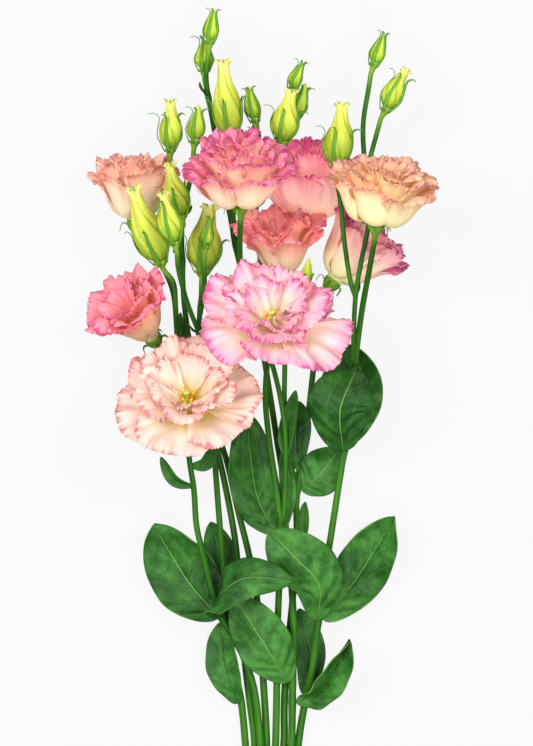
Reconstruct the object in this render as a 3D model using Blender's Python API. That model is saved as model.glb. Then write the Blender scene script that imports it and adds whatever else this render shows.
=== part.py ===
"""A banded bunch of fringed lisianthus, lying on a table.

Eight leafy stems are gathered in a flat band. They fan out to nine double blooms and nineteen buds.
+X is to the right, +Y runs from the cut ends to the buds, and +Z is up from the table, which is z = 0.
Sizes and places are in millimetres, and `MM` turns them into Blender's metres.
"""

import math
import random
from collections import namedtuple

import bmesh
import bpy
import numpy as np

MM = 0.001

GAP = 0.3  # between two pieces that touch
STEM_RADIUS = 2.15  # a main stem at its cut end
TWIG_RADIUS = 1.3
NECK_RADIUS = 1.45  # a flower stalk just under its calyx
SEPALS = 5  # each calyx's, and the sides of a stem

PETAL_THICKNESS = 0.8
LEAF_THICKNESS = 0.8
SEPAL_THICKNESS = 0.7
SEPAL_WIDTH = 1.7

CALYX_RADIUS = 4.9  # the green cup that an open bloom sits on
CORE_RADIUS = 5.0  # the closed tube where the petals of a bloom grow together
CORE_HEIGHT = 6.0
CORE_SIDES = 6

BAND_Y = -167.0
BAND_WIDTH = 6.0
BAND_WALL = 1.0
BAND_STEPS = 18
BACK_ROW_Z = (STEM_RADIUS + GAP + BAND_WALL) * math.cos(math.pi / BAND_STEPS)
FRONT_ROW_Z = BACK_ROW_Z + 4.0

TABLE_CLEARANCE = 0.5 * PETAL_THICKNESS  # a petal's middle when its face lies on the table

# One ring of petals. Lean is the angle from the bloom's axis at the petal's root, middle and rim, in degrees.
Whorl = namedtuple("Whorl", "count length lean half_angle wave cells")

# The ways that these blooms open, from the outside in. Lengths are for a size of 1.
HABITS = {
    "open": [
        Whorl(6, 39, (52, 82, 112), 35, 2.4, (3, 2)),
        Whorl(6, 31, (20, 46, 84), 35, 2.0, (3, 2)),
        Whorl(4, 20, (10, 24, 62), 33, 1.4, (2, 2)),
    ],
    "full": [
        Whorl(5, 35, (112, 52, 68), 38, 1.6, (3, 2)),
        Whorl(5, 33, (66, 36, 80), 38, 1.6, (3, 2)),
        Whorl(5, 32, (36, 22, 66), 38, 1.5, (3, 2)),
        Whorl(3, 28, (14, 14, 44), 48, 1.6, (2, 2)),
    ],
    "bell": [
        Whorl(5, 38, (72, 10, 52), 38, 1.6, (3, 2)),
        Whorl(5, 35, (34, 14, 50), 38, 1.6, (3, 2)),
        Whorl(3, 31, (14, 10, 36), 50, 1.6, (2, 2)),
    ],
    "funnel": [
        Whorl(5, 37, (48, 30, 84), 38, 1.8, (3, 2)),
        Whorl(5, 32, (26, 24, 74), 38, 1.6, (3, 2)),
        Whorl(3, 26, (12, 14, 48), 48, 1.6, (2, 2)),
    ],
}

ROOT_RADIUS = 3.7
ROOT_HEIGHT = 1.4
ROOT_STEP = 1.3  # each whorl grows this much higher on the core
RIM_ROUNDING = 0.13
CLAW = 0.5  # a petal's width at its root, as a share of its full angle
OVERLAP_LIFT = 1.5  # one edge of each petal lies this far inside its neighbour, the other outside
PETAL_STRAY = 0.06  # radians that a petal may sit off its even place
LENGTH_STRAY = 0.06
DROOP = 8  # degrees that a ring of petals leans out on one side and in on the other

# A bloom stands at `base`, the top of its calyx, and opens along `facing`.
Bloom = namedtuple("Bloom", "name habit base facing size turn colour")
BLOOMS = [
    Bloom("bloom_peach_open", "open", (-38, 18, 37), (-0.05, 0.62, 0.78), 1.0, 10, (0.95, 0.66, 0.55)),
    Bloom("bloom_pink_open", "open", (5, 58, 63), (0.03, 0.70, 0.71), 1.0, 30, (0.93, 0.58, 0.66)),
    Bloom("bloom_pink_top", "full", (-11, 127, 66), (-0.03, 0.94, 0.34), 0.94, 0, (0.90, 0.46, 0.58)),
    Bloom("bloom_magenta", "bell", (26, 125, 10.9), (0.05, 0.97, 0.22), 0.88, 20, (0.85, 0.38, 0.55)),
    Bloom("bloom_salmon", "bell", (10, 91, 22), (-0.05, 0.88, 0.47), 0.9, 15, (0.94, 0.50, 0.44)),
    Bloom("bloom_cream_right", "full", (59, 117, 75), (0.06, 0.96, 0.26), 0.98, 36, (0.96, 0.76, 0.60)),
    Bloom("bloom_mauve", "bell", (38, 88, 17.8), (0.62, 0.78, 0.0), 1.05, 40, (0.86, 0.60, 0.60)),
    Bloom("bloom_peach_left", "bell", (-69, 120, 10.8), (-0.12, 0.96, 0.24), 0.98, 5, (0.93, 0.66, 0.55)),
    Bloom("bloom_coral_left", "funnel", (-58, 58, 6.8), (-0.50, 0.65, 0.57), 0.96, 25, (0.92, 0.50, 0.48)),
]

# A bud's profile: height along it, and radius as a share of its half width.
RIPE_PROFILE = [(0.0, 0.34), (0.22, 0.95), (0.38, 0.96), (0.56, 0.66), (0.78, 0.38), (1.0, 0.42)]
YOUNG_PROFILE = [(0.0, 0.45), (0.3, 1.0), (0.6, 0.70), (1.0, 0.22)]
BUD_TWIST = 40  # degrees that the petals wind round the bud from end to end
BUD_LOBE = 0.09

# A bud runs from `base`, the top of its stalk, to `tip`. Sepals are as long as `reach` times the bud.
Bud = namedtuple("Bud", "name base tip width ripe reach flare")
BUDS = [
    Bud("bud_01", (-27, 213, 31), (-25, 229, 33), 8.4, False, 1.05, 2.5),
    Bud("bud_02", (-30, 199, 22), (-30, 214, 22), 10.4, False, 1.15, 5.5),
    Bud("bud_03", (-16, 163, 34), (-20, 203, 38), 15.4, True, 0.5, 4.0),
    Bud("bud_04", (-3.5, 172, 29), (-7, 189, 30), 8.4, False, 1.0, 3.0),
    Bud("bud_05", (-3, 160, 22), (-4, 171, 22), 6.0, False, 0.8, 1.0),
    Bud("bud_06", (11, 160, 43), (16, 187, 46), 14.6, True, 0.62, 5.0),
    Bud("bud_07", (16, 188, 34), (21, 201, 36), 7.4, False, 1.1, 2.0),
    Bud("bud_08", (18, 174, 22), (23, 191, 23), 9.4, False, 0.95, 4.0),
    Bud("bud_09", (-48, 157, 22), (-48, 183, 25), 12.4, True, 0.72, 6.5),
    Bud("bud_10", (-35, 161, 30), (-33, 179, 31), 9.8, False, 0.95, 5.5),
    Bud("bud_11", (-42, 122, 36), (-48, 149, 44), 13.4, True, 0.6, 4.0),
    Bud("bud_12", (-53, 98, 36), (-67, 136, 50), 17.6, True, 0.5, 2.5),
    Bud("bud_13", (-45, 107, 60), (-51, 133, 64), 12.6, True, 0.85, 3.5),
    Bud("bud_14", (-31, 93, 20), (-27, 128, 22), 18.6, True, 0.5, 5.0),
    Bud("bud_15", (-29, 106, 36), (-27, 118, 38), 7.2, False, 1.25, 1.5),
    Bud("bud_16", (39, 147, 47), (42, 180, 49), 15.4, True, 0.6, 6.0),
    Bud("bud_17", (59, 201, 34), (64, 216, 35), 8.4, False, 1.1, 1.5),
    Bud("bud_18", (65, 177, 38), (76, 198, 40), 11.4, True, 0.85, 5.0),
    Bud("bud_19", (23, 86, 34), (25, 99, 36), 6.4, False, 0.4, 0.8),
]

# A stem runs along `main` from its cut end, and ends under the flower `ends`. Each twig starts on it.
Stem = namedtuple("Stem", "name main ends twigs small_leaves")
Twig = namedtuple("Twig", "via ends")
# A leaf grows along `route`. Its blade spreads along `side` at the root and at the tip.
Leaf = namedtuple("Leaf", "name route half_width sides fold wave")

STEMS = [
    Stem(
        "stem_1",
        [(-10, -227, 2.4), (-8.6, BAND_Y, BACK_ROW_Z), (-9, -153, 3.8), (-11, -134, 5), (-15, -113, 7), (-18, -89, 8),
         (-20, -66, 8), (-22, -43, 8.5), (-24, -17, 10), (-26, 9, 11.3), (-29, 35, 11.3), (-33, 60, 11.3), (-32, 76, 14)],
        "bud_14",
        [
            Twig([(-33, 60, 11.3), (-39, 76, 29), (-43, 92, 47)], "bud_13"),
            Twig([(-32, 74, 13), (-30, 84, 27), (-30, 95, 35)], "bud_15"),
        ],
        [],
    ),
    Stem(
        "stem_2",
        [(-4.8, -224, 2.4), (-3.8, BAND_Y, BACK_ROW_Z), (-4, -153, 3.8), (-6, -137, 4), (-9, -112, 4), (-11, -82, 5),
         (-14, -50, 5.5), (-19, -22, 5), (-24, 0, 6.6), (-31, 25, 6.8), (-37.5, 52, 7), (-41, 77, 10), (-42, 102, 13),
         (-42.5, 122, 17), (-46, 142, 20)],
        "bud_09",
        [
            Twig([(-42, 98, 12.5), (-43, 111, 25)], "bud_11"),
            Twig([(-42.5, 120, 17), (-38, 138, 24), (-36, 150, 28)], "bud_10"),
        ],
        [],
    ),
    Stem(
        "stem_3",
        [(-1.4, -228, 7), (-0.7, BAND_Y, FRONT_ROW_Z), (-1, -153, 7.8), (-4, -128, 9.5), (-10, -110, 12), (-17, -97, 13.5),
         (-22, -88, 15), (-27, -73, 16.8), (-30.6, -57, 20.6), (-34.2, -41, 23.8), (-35.5, -22, 27.4),
         (-38, -4, 30.5)],
        "bloom_peach_open",
        [],
        [
            Leaf("", [(-35.7, -21, 28.0), (-46, -17, 30), (-53, -5, 29)], 3.2, ((0.4, 0.8, 0.4), (0.7, 0.7, 0.2)), 15, 0),
            Leaf("", [(-37.2, -10, 29.3), (-29, -8, 29), (-25, 1, 28)], 4.0, ((-0.3, 0.8, 0.4), (-0.8, 0.5, 0.2)), 15, 0),
        ],
    ),
    Stem(
        "stem_4",
        [(1.4, -225, 2.4), (2.4, BAND_Y, BACK_ROW_Z), (2.5, -153, 3.6), (1, -126, 4.5), (-1, -100, 4), (-3, -76, 3.5),
         (-7, -56, 3), (-13, -32, 2.6), (-19, -6, 2.4), (-27, 14, 2.4), (-38, 28, 2.8), (-47, 42, 3)],
        "bloom_coral_left",
        [
            Twig([(-44, 38, 2.9), (-44.5, 54, 11), (-45, 74, 27), (-46, 86, 33)], "bud_12"),
            Twig([(-44, 38, 2.9), (-45, 60, 4), (-47, 82, 6), (-54, 97, 8), (-64, 106, 9.5)], "bloom_peach_left"),
        ],
        [Leaf("", [(-44, 37, 5), (-43, 50, 7), (-43, 71, 8)], 3.6, ((0.9, 0.1, 0.3), (0.9, 0.1, 0.3)), 15, 0)],
    ),
    Stem(
        "stem_5",
        [(7.3, -229, 6.8), (7.2, BAND_Y, FRONT_ROW_Z), (7.5, -153, 7.8), (8, -128, 9), (8, -105, 11), (9, -79, 14),
         (10, -44, 17), (7, -17, 22), (4, 4, 27), (2, 25, 37), (3, 44, 50)],
        "bloom_pink_open",
        [
            Twig([(10, -44, 17), (12, -32, 20), (12.5, 4, 25), (10, 25, 28), (6, 42, 30), (0, 62, 30), (-7, 84, 31),
                  (-11, 98, 42), (-11, 113, 56)], "bloom_pink_top"),
        ],
        [Leaf("", [(12.3, -5, 24), (13, 8, 22), (18, 30, 18)], 4.4, ((0.9, -0.3, 0.2), (0.9, -0.4, 0.1)), 20, 0)],
    ),
    Stem(
        "stem_6",
        [(12.2, -223, 2.4), (11.6, BAND_Y, BACK_ROW_Z), (12, -153, 3.6), (12, -136, 3.5), (13.5, -110, 4), (16.5, -80, 4.5),
         (18.5, -50, 6.5), (18.5, -22, 8), (22, -4, 6), (25, 20, 5), (28, 46, 5), (31, 68, 10)],
        "bloom_mauve",
        [
            Twig([(18.5, -22, 8), (15, -6, 14), (12.5, 9, 17), (12, 28, 17), (12, 50, 17), (9, 68, 17)],
                 "bloom_salmon"),
            Twig([(12, 50, 17), (19, 66, 22), (22, 77, 29)], "bud_19"),
        ],
        [Leaf("", [(18.3, -53, 7), (21.5, -44, 8), (23, -29, 8)], 3.4, ((0.9, -0.2, 0.2), (0.9, 0, 0.2)), 15, 0)],
    ),
    Stem(
        "stem_7",
        [(16.6, -227, 7), (15.5, BAND_Y, FRONT_ROW_Z), (16, -153, 7.8), (16.3, -125, 9.2), (17, -100, 9.8), (16, -76, 10),
         (13, -48, 7), (12, -22, 5), (8, 4, 4), (4, 30, 4), (0, 54, 5), (-6, 76, 8), (-12, 98, 11), (-17, 124, 15),
         (-22, 150, 19), (-28, 184, 22)],
        "bud_02",
        [
            Twig([(-28, 184, 22), (-29, 195, 29)], "bud_01"),
            Twig([(-14, 108, 12.5), (-15, 124, 20), (-16, 145, 30)], "bud_03"),
            Twig([(0, 54, 5), (1, 76, 7), (-1, 100, 11), (-3, 124, 19), (2, 138, 33), (7, 149, 40)], "bud_06"),
            Twig([(-3, 124, 19), (-5, 140, 25), (-5, 160, 29)], "bud_04"),
            Twig([(-4, 132, 22), (-3, 145, 21)], "bud_05"),
            Twig([(-3, 125, 20), (1, 146, 28), (9, 164, 32), (14, 178, 33.5)], "bud_07"),
            Twig([(1, 146, 28), (10, 160, 24)], "bud_08"),
            Twig([(1, 76, 7), (10, 92, 4), (22, 104, 4.5), (25, 112, 8)], "bloom_magenta"),
        ],
        [],
    ),
    Stem(
        "stem_8",
        [(21, -225, 2.4), (19.4, BAND_Y, BACK_ROW_Z), (20, -153, 4.2), (23, -135, 6), (27, -116, 9), (30, -91, 12),
         (34, -63, 15), (38, -37, 18), (42, -11, 21), (44, 1, 22), (47, 25, 27), (49, 45, 34), (52, 70, 44),
         (56, 94, 58)],
        "bloom_cream_right",
        [
            Twig([(48, 38, 31), (48, 58, 39), (49, 80, 45), (52, 98, 48), (55, 113, 48.5), (56, 128, 45),
                  (54, 146, 41), (53, 168, 37), (56, 188, 34)], "bud_17"),
            Twig([(49, 78, 44.5), (46, 88, 45), (43, 108, 45), (41, 128, 45.5)], "bud_16"),
            Twig([(54, 142, 42), (59, 160, 39)], "bud_18"),
        ],
        [],
    ),
]

# Each large leaf names the stem that carries it.
LEAVES = [
    ("stem_3", Leaf("leaf_01", [(-22, -90, 13), (-38, -71, 7), (-57, -41, 17)], 15.5, ((0.83, 0.56, 0), (0.83, 0.56, 0.2)), 12, 1.2)),
    ("stem_2", Leaf("leaf_02", [(-12.5, -80, 1.5), (-20, -62, -1), (-27, -40, 3)], 8.5, ((0.95, 0.3, 0), (0.95, 0.3, 0)), 3, 0.1)),
    ("stem_3", Leaf("leaf_03", [(-22, -90, 19), (-25, -78, 29), (-10, -68, 38), (16, -69, 44)], 10.0, ((0.7, 0.4, -0.5), (0, 1, 0.1)), -14, 0.8)),
    ("stem_7", Leaf("leaf_04", [(16.3, -124, 12), (3, -106, 24), (-14, -78, 27)], 14.5, ((0.82, 0.57, 0.1), (0.82, 0.57, 0)), -12, 1.0)),
    ("stem_1", Leaf("leaf_05", [(-11, -136, 9), (-19, -118, 12), (-26, -96, 10)], 7.0, ((0.8, 0.5, 0.3), (0.95, 0.2, 0.3)), 14, 0.6)),
    ("stem_7", Leaf("leaf_06", [(16.2, -136, 11), (33, -126, 15), (46, -101, 24)], 9.0, ((-0.55, 0.75, 0.3), (-0.7, 0.6, 0.4)), 35, 0.6)),
    ("stem_8", Leaf("leaf_07", [(24, -132, 3), (26, -110, 2), (20, -86, 2)], 8.0, ((1, 0, 0), (1, 0, 0)), 3, 0.2)),
    ("stem_8", Leaf("leaf_08", [(30, -91, 16), (30, -72, 28), (18, -58, 34), (4, -44, 30)], 16.0, ((0.9, 0.4, 0.1), (0.86, 0.52, 0)), -16, 1.0)),
    ("stem_8", Leaf("leaf_09", [(30, -91, 9), (51, -69, 4), (70, -37, 18)], 14.5, ((-0.79, 0.61, 0), (-0.79, 0.61, -0.2)), 14, 1.6)),
    ("stem_6", Leaf("leaf_10", [(18.5, -23, 9), (31, -20, 14), (41, -1, 8)], 11.5, ((-0.2, 0.97, 0), (-0.85, 0.5, 0)), -10, 0.8)),
    ("stem_8", Leaf("leaf_11", [(43, -2, 25), (41, 20, 45), (50, 42, 41)], 18.5, ((1, 0.1, 0), (1, -0.2, 0)), -20, 1.2)),
    ("stem_8", Leaf("leaf_12", [(44, 1, 19), (47, 25, 12), (47, 54, 15)], 17.0, ((1, 0, 0), (1, 0, 0)), 12, 1.0)),
    ("stem_5", Leaf("leaf_13", [(9, -46, 15), (-3, -24, 10), (-8, 18, 16)], 11.0, ((0.9, 0.4, 0), (1, 0.1, 0)), 10, 0.8)),
    ("stem_5", Leaf("leaf_14", [(10.5, -44, 14), (14, -24, 15.5), (11, -2, 20)], 4.2, ((1, 0, 0), (1, 0, 0)), 8, 0.3)),
    ("stem_6", Leaf("leaf_15", [(20, -12, 10), (18, 7, 11), (20, 24, 10)], 8.0, ((1, 0, 0), (1, 0, 0)), 8, 0.3)),
]
LEAF_ROOT = 0.06  # half the width of a leaf where it clasps the stem, as a share of its half width

GREEN_STEM = (0.20, 0.45, 0.12)
GREEN_LEAF = (0.12, 0.36, 0.14)
YELLOW_GREEN = (0.74, 0.80, 0.20)
YOUNG_GREEN = (0.45, 0.66, 0.12)
ANTHER_YELLOW = (0.93, 0.76, 0.12)
BAND_COLOUR = (0.70, 0.56, 0.38)


def unit(vector):
    vector = np.asarray(vector, float)
    return vector / np.linalg.norm(vector)


def ease(share):
    """0 to 1 smoothly, as share goes from 0 to 1."""
    share = min(max(share, 0.0), 1.0)
    return share * share * (3 - 2 * share)


def chance(*key):
    """A draw from -1 to 1 that is the same each time for the same key."""
    return random.Random("-".join(str(part) for part in key)).uniform(-1, 1)


def smooth_path(points, per_span):
    """A rounded line through the points, with per_span steps from each to the next."""
    given = np.array(points, float)
    given = np.vstack([2 * given[0] - given[1], given, 2 * given[-1] - given[-2]])
    line = []
    for i in range(1, len(given) - 2):
        before, here, there, after = given[i - 1 : i + 3]
        for step in range(per_span):
            t = step / per_span
            line.append(
                0.5
                * (
                    2 * here
                    + (there - before) * t
                    + (2 * before - 5 * here + 4 * there - after) * t**2
                    + (3 * here - before - 3 * there + after) * t**3
                )
            )
    line.append(given[-2])
    return np.array(line)


def tangents(line):
    steps = np.gradient(line, axis=0)
    return steps / np.linalg.norm(steps, axis=1)[:, None]


def crossways(line):
    """Two directions square to the line at each of its points, carried along it without turning."""
    along = tangents(line)
    side = unit(np.cross(along[0], (0.03, 0.05, 1.0)))
    sides = []
    for direction in along:
        side = unit(side - direction * (side @ direction))
        sides.append(side)
    sides = np.array(sides)
    return sides, np.cross(sides, along)


def mesh_object(name, build, material, smooth=True):
    """An object whose mesh `build` fills."""
    mesh = bpy.data.meshes.new(name)
    body = bmesh.new()
    build(body)
    body.to_mesh(mesh)
    body.free()
    mesh.materials.append(material)
    if smooth:
        mesh.shade_smooth()
    made = bpy.data.objects.new(name, mesh)
    bpy.context.scene.collection.objects.link(made)
    return made


def tube(name, line, radii, sides, material, shape=None, extend=None):
    """A closed round body along a line. shape(ring, corner) gives a factor on the radius and a turn in radians.

    extend(body, rings) may add to it before it is finished.
    """
    line = np.array(line, float)
    across, above = crossways(line)

    def build(body):
        rings = []
        for i, (centre, radius) in enumerate(zip(line, radii)):
            ring = []
            for corner in range(sides):
                factor, turn = shape(i, corner) if shape else (1.0, 0.0)
                angle = 2 * math.pi * corner / sides + turn
                spoke = math.cos(angle) * across[i] + math.sin(angle) * above[i]
                ring.append(body.verts.new((centre + spoke * radius * factor) * MM))
            rings.append(ring)
        for low, high in zip(rings, rings[1:]):
            for corner in range(sides):
                after = (corner + 1) % sides
                body.faces.new((low[corner], low[after], high[after], high[corner]))
        body.faces.new(rings[0][::-1])
        body.faces.new(rings[-1])
        if extend:
            extend(body, rings)
        bmesh.ops.recalc_face_normals(body, faces=body.faces)

    return mesh_object(name, build, material)


def blade(name, surface, cells, thickness, material):
    """A thin closed solid. surface(u, v) is its middle, u from -1 to 1 across and v from 0 to 1 along."""

    def build(body):
        bmesh.ops.create_grid(body, x_segments=cells[0], y_segments=cells[1], size=1.0)
        for vert in body.verts:
            vert.co = surface(vert.co.x, 0.5 * (vert.co.y + 1)) * MM
        bmesh.ops.triangulate(body, faces=body.faces, quad_method="FIXED")

    made = mesh_object(name, build, material)
    wall = made.modifiers.new("thickness", "SOLIDIFY")
    wall.thickness = thickness * MM
    wall.offset = 0.0
    return made


def fuse(base, pieces):
    """Joins the pieces to the base as one closed body, and removes them."""
    group = bpy.data.collections.new(base.name + "_pieces")
    bpy.context.scene.collection.children.link(group)
    for piece in pieces:
        bpy.context.scene.collection.objects.unlink(piece)
        group.objects.link(piece)
    union = base.modifiers.new("grown together", "BOOLEAN")
    union.operation = "UNION"
    union.operand_type = "COLLECTION"
    union.collection = group
    union.solver = "MANIFOLD"
    bpy.context.view_layer.objects.active = base
    bpy.ops.object.modifier_apply(modifier=union.name)
    for piece in list(group.objects):
        bpy.data.objects.remove(piece)
    bpy.data.collections.remove(group)
    return base


def material(name, colour, roughness):
    made = bpy.data.materials.new(name)
    made.use_nodes = True
    shader = made.node_tree.nodes["Principled BSDF"]
    shader.inputs["Base Color"].default_value = (*colour, 1.0)
    shader.inputs["Roughness"].default_value = roughness
    shader.inputs["Metallic"].default_value = 0.0
    made.diffuse_color = (*colour, 1.0)
    return made


def on_table(point, above=0.0):
    """A point of a thin piece, which lies on the table rather than pass into it."""
    point[2] = max(point[2], TABLE_CLEARANCE + above)
    return point


def flower_frame(facing):
    """Rows are the bloom's own x, y and axis directions."""
    axis = unit(facing)
    x_dir = unit(np.array((1.0, 0.0, 0.0)) - axis * axis[0])
    return np.array([x_dir, np.cross(axis, x_dir), axis])


def petal_profile(whorl, length, droop, steps=16):
    """Radius, height and lean along a petal's middle line, at even steps from root to rim."""
    root, middle, rim = whorl.lean
    share = np.linspace(0, 1, steps + 1)
    lean = root * (1 - share) * (1 - 2 * share) + 4 * middle * share * (1 - share) + rim * share * (2 * share - 1)
    lean = np.radians(lean + droop * share)
    step = length / steps
    radius = ROOT_RADIUS + np.concatenate([[0], np.cumsum(np.sin(lean[:-1]) * step)])
    height = np.concatenate([[0], np.cumsum(np.cos(lean[:-1]) * step)])
    return share, radius, height, lean


def petal_surface(bloom, level, whorl, number):
    """surface(u, v) of one petal, in the bunch's frame."""
    frame = flower_frame(bloom.facing)
    key = (bloom.name, level, number)
    centre = 2 * math.pi * (number + 0.5 * level) / whorl.count + math.radians(bloom.turn)
    centre += PETAL_STRAY * chance(*key, "turn")
    length = whorl.length * bloom.size * (1 + LENGTH_STRAY * chance(*key, "length"))
    phase = math.pi * chance(*key, "phase")
    half = math.radians(whorl.half_angle)
    base = np.array(bloom.base, float)
    root_height = ROOT_HEIGHT + ROOT_STEP * level
    droop_side = math.pi * chance(bloom.name, level, "droop")

    def surface(u, v):
        along = v * (1 - RIM_ROUNDING * abs(u) ** 2.4)
        angle = centre + u * half * (CLAW + (1 - CLAW) * ease(along / 0.5))
        share, radius, height, lean = petal_profile(whorl, length, DROOP * math.cos(angle - droop_side))
        r = np.interp(along, share, radius)
        h = np.interp(along, share, height) + root_height
        tilt = np.interp(along, share, lean)
        lift = OVERLAP_LIFT * u * ease(along / 0.3)
        lift += whorl.wave * v * v * math.sin(2 * math.pi * 1.1 * u + phase) * (1 - 0.6 * u * u)
        r += math.cos(tilt) * lift
        h -= math.sin(tilt) * lift
        local = np.array((r * math.cos(angle), r * math.sin(angle), h))
        return on_table(base + local @ frame)

    return surface


def make_bloom(bloom):
    """The petals of one bloom, grown together at their roots."""
    finish = material(bloom.name, bloom.colour, 0.6)
    axis = unit(bloom.facing)
    heights = (GAP, 0.5 * CORE_HEIGHT, CORE_HEIGHT)
    line = [np.array(bloom.base) + axis * height for height in heights]
    core = tube(bloom.name, line, (CORE_RADIUS - 0.6, CORE_RADIUS, CORE_RADIUS - 0.3), CORE_SIDES, finish)
    petals = []
    for level, whorl in enumerate(HABITS[bloom.habit]):
        for number in range(whorl.count):
            surface = petal_surface(bloom, level, whorl, number)
            petals.append(blade(f"petal_{level}_{number}", surface, whorl.cells, PETAL_THICKNESS, finish))
    return fuse(core, petals)


PISTIL_LINE = [(0.0, 2.0), (3.5, 2.0), (7.0, 0.7), (10.0, 0.8), (11.5, 1.6)]
STAMEN_COUNT = 5
STAMEN_SPREAD = 3.4
STAMEN_HEIGHT = 7.5
ANTHER_LENGTH = 2.6


def make_pistil(bloom):
    """The ovary, style and stigma in a bloom's throat, with the stamens round them."""
    finish = material("pistil", ANTHER_YELLOW, 0.5)
    frame = flower_frame(bloom.facing)
    foot = np.array(bloom.base) + frame[2] * (CORE_HEIGHT + GAP)

    def at(r, angle, height):
        return foot + np.array((r * math.cos(angle), r * math.sin(angle), height)) @ frame

    name = bloom.name.replace("bloom", "pistil")
    line = [at(0, 0, height) for height, _ in PISTIL_LINE]
    pistil = tube(name, line, [radius for _, radius in PISTIL_LINE], 5, finish)
    stamens = []
    for number in range(STAMEN_COUNT):
        angle = 2 * math.pi * number / STAMEN_COUNT + 0.4
        top = STAMEN_HEIGHT + 0.8 * chance(bloom.name, "stamen", number)
        line = [at(1.0, angle, 0.8), at(STAMEN_SPREAD, angle, top), at(STAMEN_SPREAD, angle, top + ANTHER_LENGTH)]
        stamens.append(tube(f"stamen_{number}", line, (0.4, 0.7, 0.6), 3, finish))
    return fuse(pistil, stamens)


def bud_profile(bud):
    return RIPE_PROFILE if bud.ripe else YOUNG_PROFILE


def bud_radius(bud, share):
    """The bud's greatest radius at a share of its length."""
    heights, radii = zip(*bud_profile(bud))
    return 0.5 * bud.width * (1 + BUD_LOBE) * float(np.interp(share, heights, radii))


def make_bud(bud):
    """The rolled petals of one bud: lobes that wind round its axis."""
    base, tip = np.array(bud.base, float), np.array(bud.tip, float)
    base = base + unit(tip - base) * GAP
    line = [base + (tip - base) * height for height, _ in bud_profile(bud)]
    radii = [0.5 * bud.width * radius for _, radius in bud_profile(bud)]
    finish = material(bud.name, YELLOW_GREEN if bud.ripe else YOUNG_GREEN, 0.5)
    twist = math.radians(BUD_TWIST)

    def shape(ring, corner):
        rise = bud_profile(bud)[ring][0]
        return 1 + BUD_LOBE * ease(rise * 4) * (1 if corner % 2 else -1), twist * rise

    return tube(bud.name, line, radii, 8 if bud.ripe else 6, finish, shape)


def flower_of(name):
    """(base, axis, whether it is an open bloom) of the flower that a stalk ends under."""
    for bloom in BLOOMS:
        if bloom.name == name:
            return np.array(bloom.base, float), unit(bloom.facing), True
    for bud in BUDS:
        if bud.name == name:
            base, tip = np.array(bud.base, float), np.array(bud.tip, float)
            return base, unit(tip - base), False
    raise ValueError(name)


def bud_named(name):
    return next(bud for bud in BUDS if bud.name == name)


def sepal_stations(name, number):
    """A sepal's (out, up) points from its flower's base, of which the last is its tip."""
    base, axis, is_bloom = flower_of(name)
    if is_bloom:
        return [(CALYX_RADIUS + 1.4, -1.6), (CALYX_RADIUS + 5 + chance(name, number), -8.0)]
    bud = bud_named(name)
    length = float(np.linalg.norm(np.array(bud.tip, float) - base))
    shares = (0.22, 0.38) if bud.ripe else (0.3,)
    points = [(bud_radius(bud, share) + 2 * GAP, share * length) for share in shares]
    curl = bud.flare * (1 + 0.3 * chance(name, "flare", number))
    return [*points, (bud_radius(bud, bud.reach) + 3 * GAP + curl, bud.reach * length)]


def grow_sepals(name):
    """A step for `tube` that draws each side of a calyx's rim out into a sepal."""
    base, axis, is_bloom = flower_of(name)
    # the calyx's lower edge runs into the inner face of a sepal that hangs, and the outer face of one that rises
    faces = (0, 1) if is_bloom else (1, 0)

    def extend(body, rings):
        low, high = rings[-2], rings[-1]
        for number in range(SEPALS):
            after = (number + 1) % SEPALS
            ring = [low[number], low[after], high[after], high[number]]
            body.faces.remove(body.faces.get(ring))
            middle = np.array(sum((vert.co for vert in ring[1:]), ring[0].co.copy())) / 4 / MM
            spoke = middle - base
            spoke = unit(spoke - axis * (spoke @ axis))
            across = unit(np.array(low[after].co - low[number].co))
            *stations, tip = sepal_stations(name, number)
            for out, up in stations:
                corners = []
                for outside, side in ((faces[0], -1), (faces[0], 1), (faces[1], 1), (faces[1], -1)):
                    spot = base + axis * up + spoke * (out + outside * SEPAL_THICKNESS)
                    spot = on_table(spot, (1 - outside) * SEPAL_THICKNESS)
                    corners.append(body.verts.new((spot + across * side * 0.5 * SEPAL_WIDTH) * MM))
                for i in range(4):
                    body.faces.new((ring[i], ring[(i + 1) % 4], corners[(i + 1) % 4], corners[i]))
                ring = corners
            point = body.verts.new(on_table(base + axis * tip[1] + spoke * tip[0]) * MM)
            for i in range(4):
                body.faces.new((ring[i], ring[(i + 1) % 4], point))

    return extend


def stalk(name, via, start_radius, ends, finish):
    """A stem or twig that swells into the calyx cup, with five sepals, of the flower it ends under."""
    base, axis, is_bloom = flower_of(ends)
    if is_bloom:
        swell = [(9.0, NECK_RADIUS), (6.5, 2.6), (3.6, 4.4), (0.0, CALYX_RADIUS)]
    else:
        foot = bud_radius(bud_named(ends), 0.0)
        swell = [(6.0, TWIG_RADIUS), (2.2, max(foot, 1.5)), (0.0, foot + 0.4)]
    line = np.array([*via, tuple(base - axis * swell[0][0])], float)
    lengths = np.concatenate([[0], np.cumsum(np.linalg.norm(np.diff(line, axis=0), axis=1))])
    radii = list(start_radius + (swell[0][1] - start_radius) * lengths / lengths[-1])
    for back, radius in swell[1:]:
        line = np.vstack([line, base - axis * back])
        radii.append(radius)
    return tube(name, line, radii, SEPALS, finish, extend=grow_sepals(ends))


def leaf_width(v):
    """A lisianthus leaf's outline: clasping root, widest below the middle, pointed tip."""
    return LEAF_ROOT * (1 - v) ** 5 + 2.08 * v**0.62 * (1 - v**1.7) ** 0.85 + 0.05 * v


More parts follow.
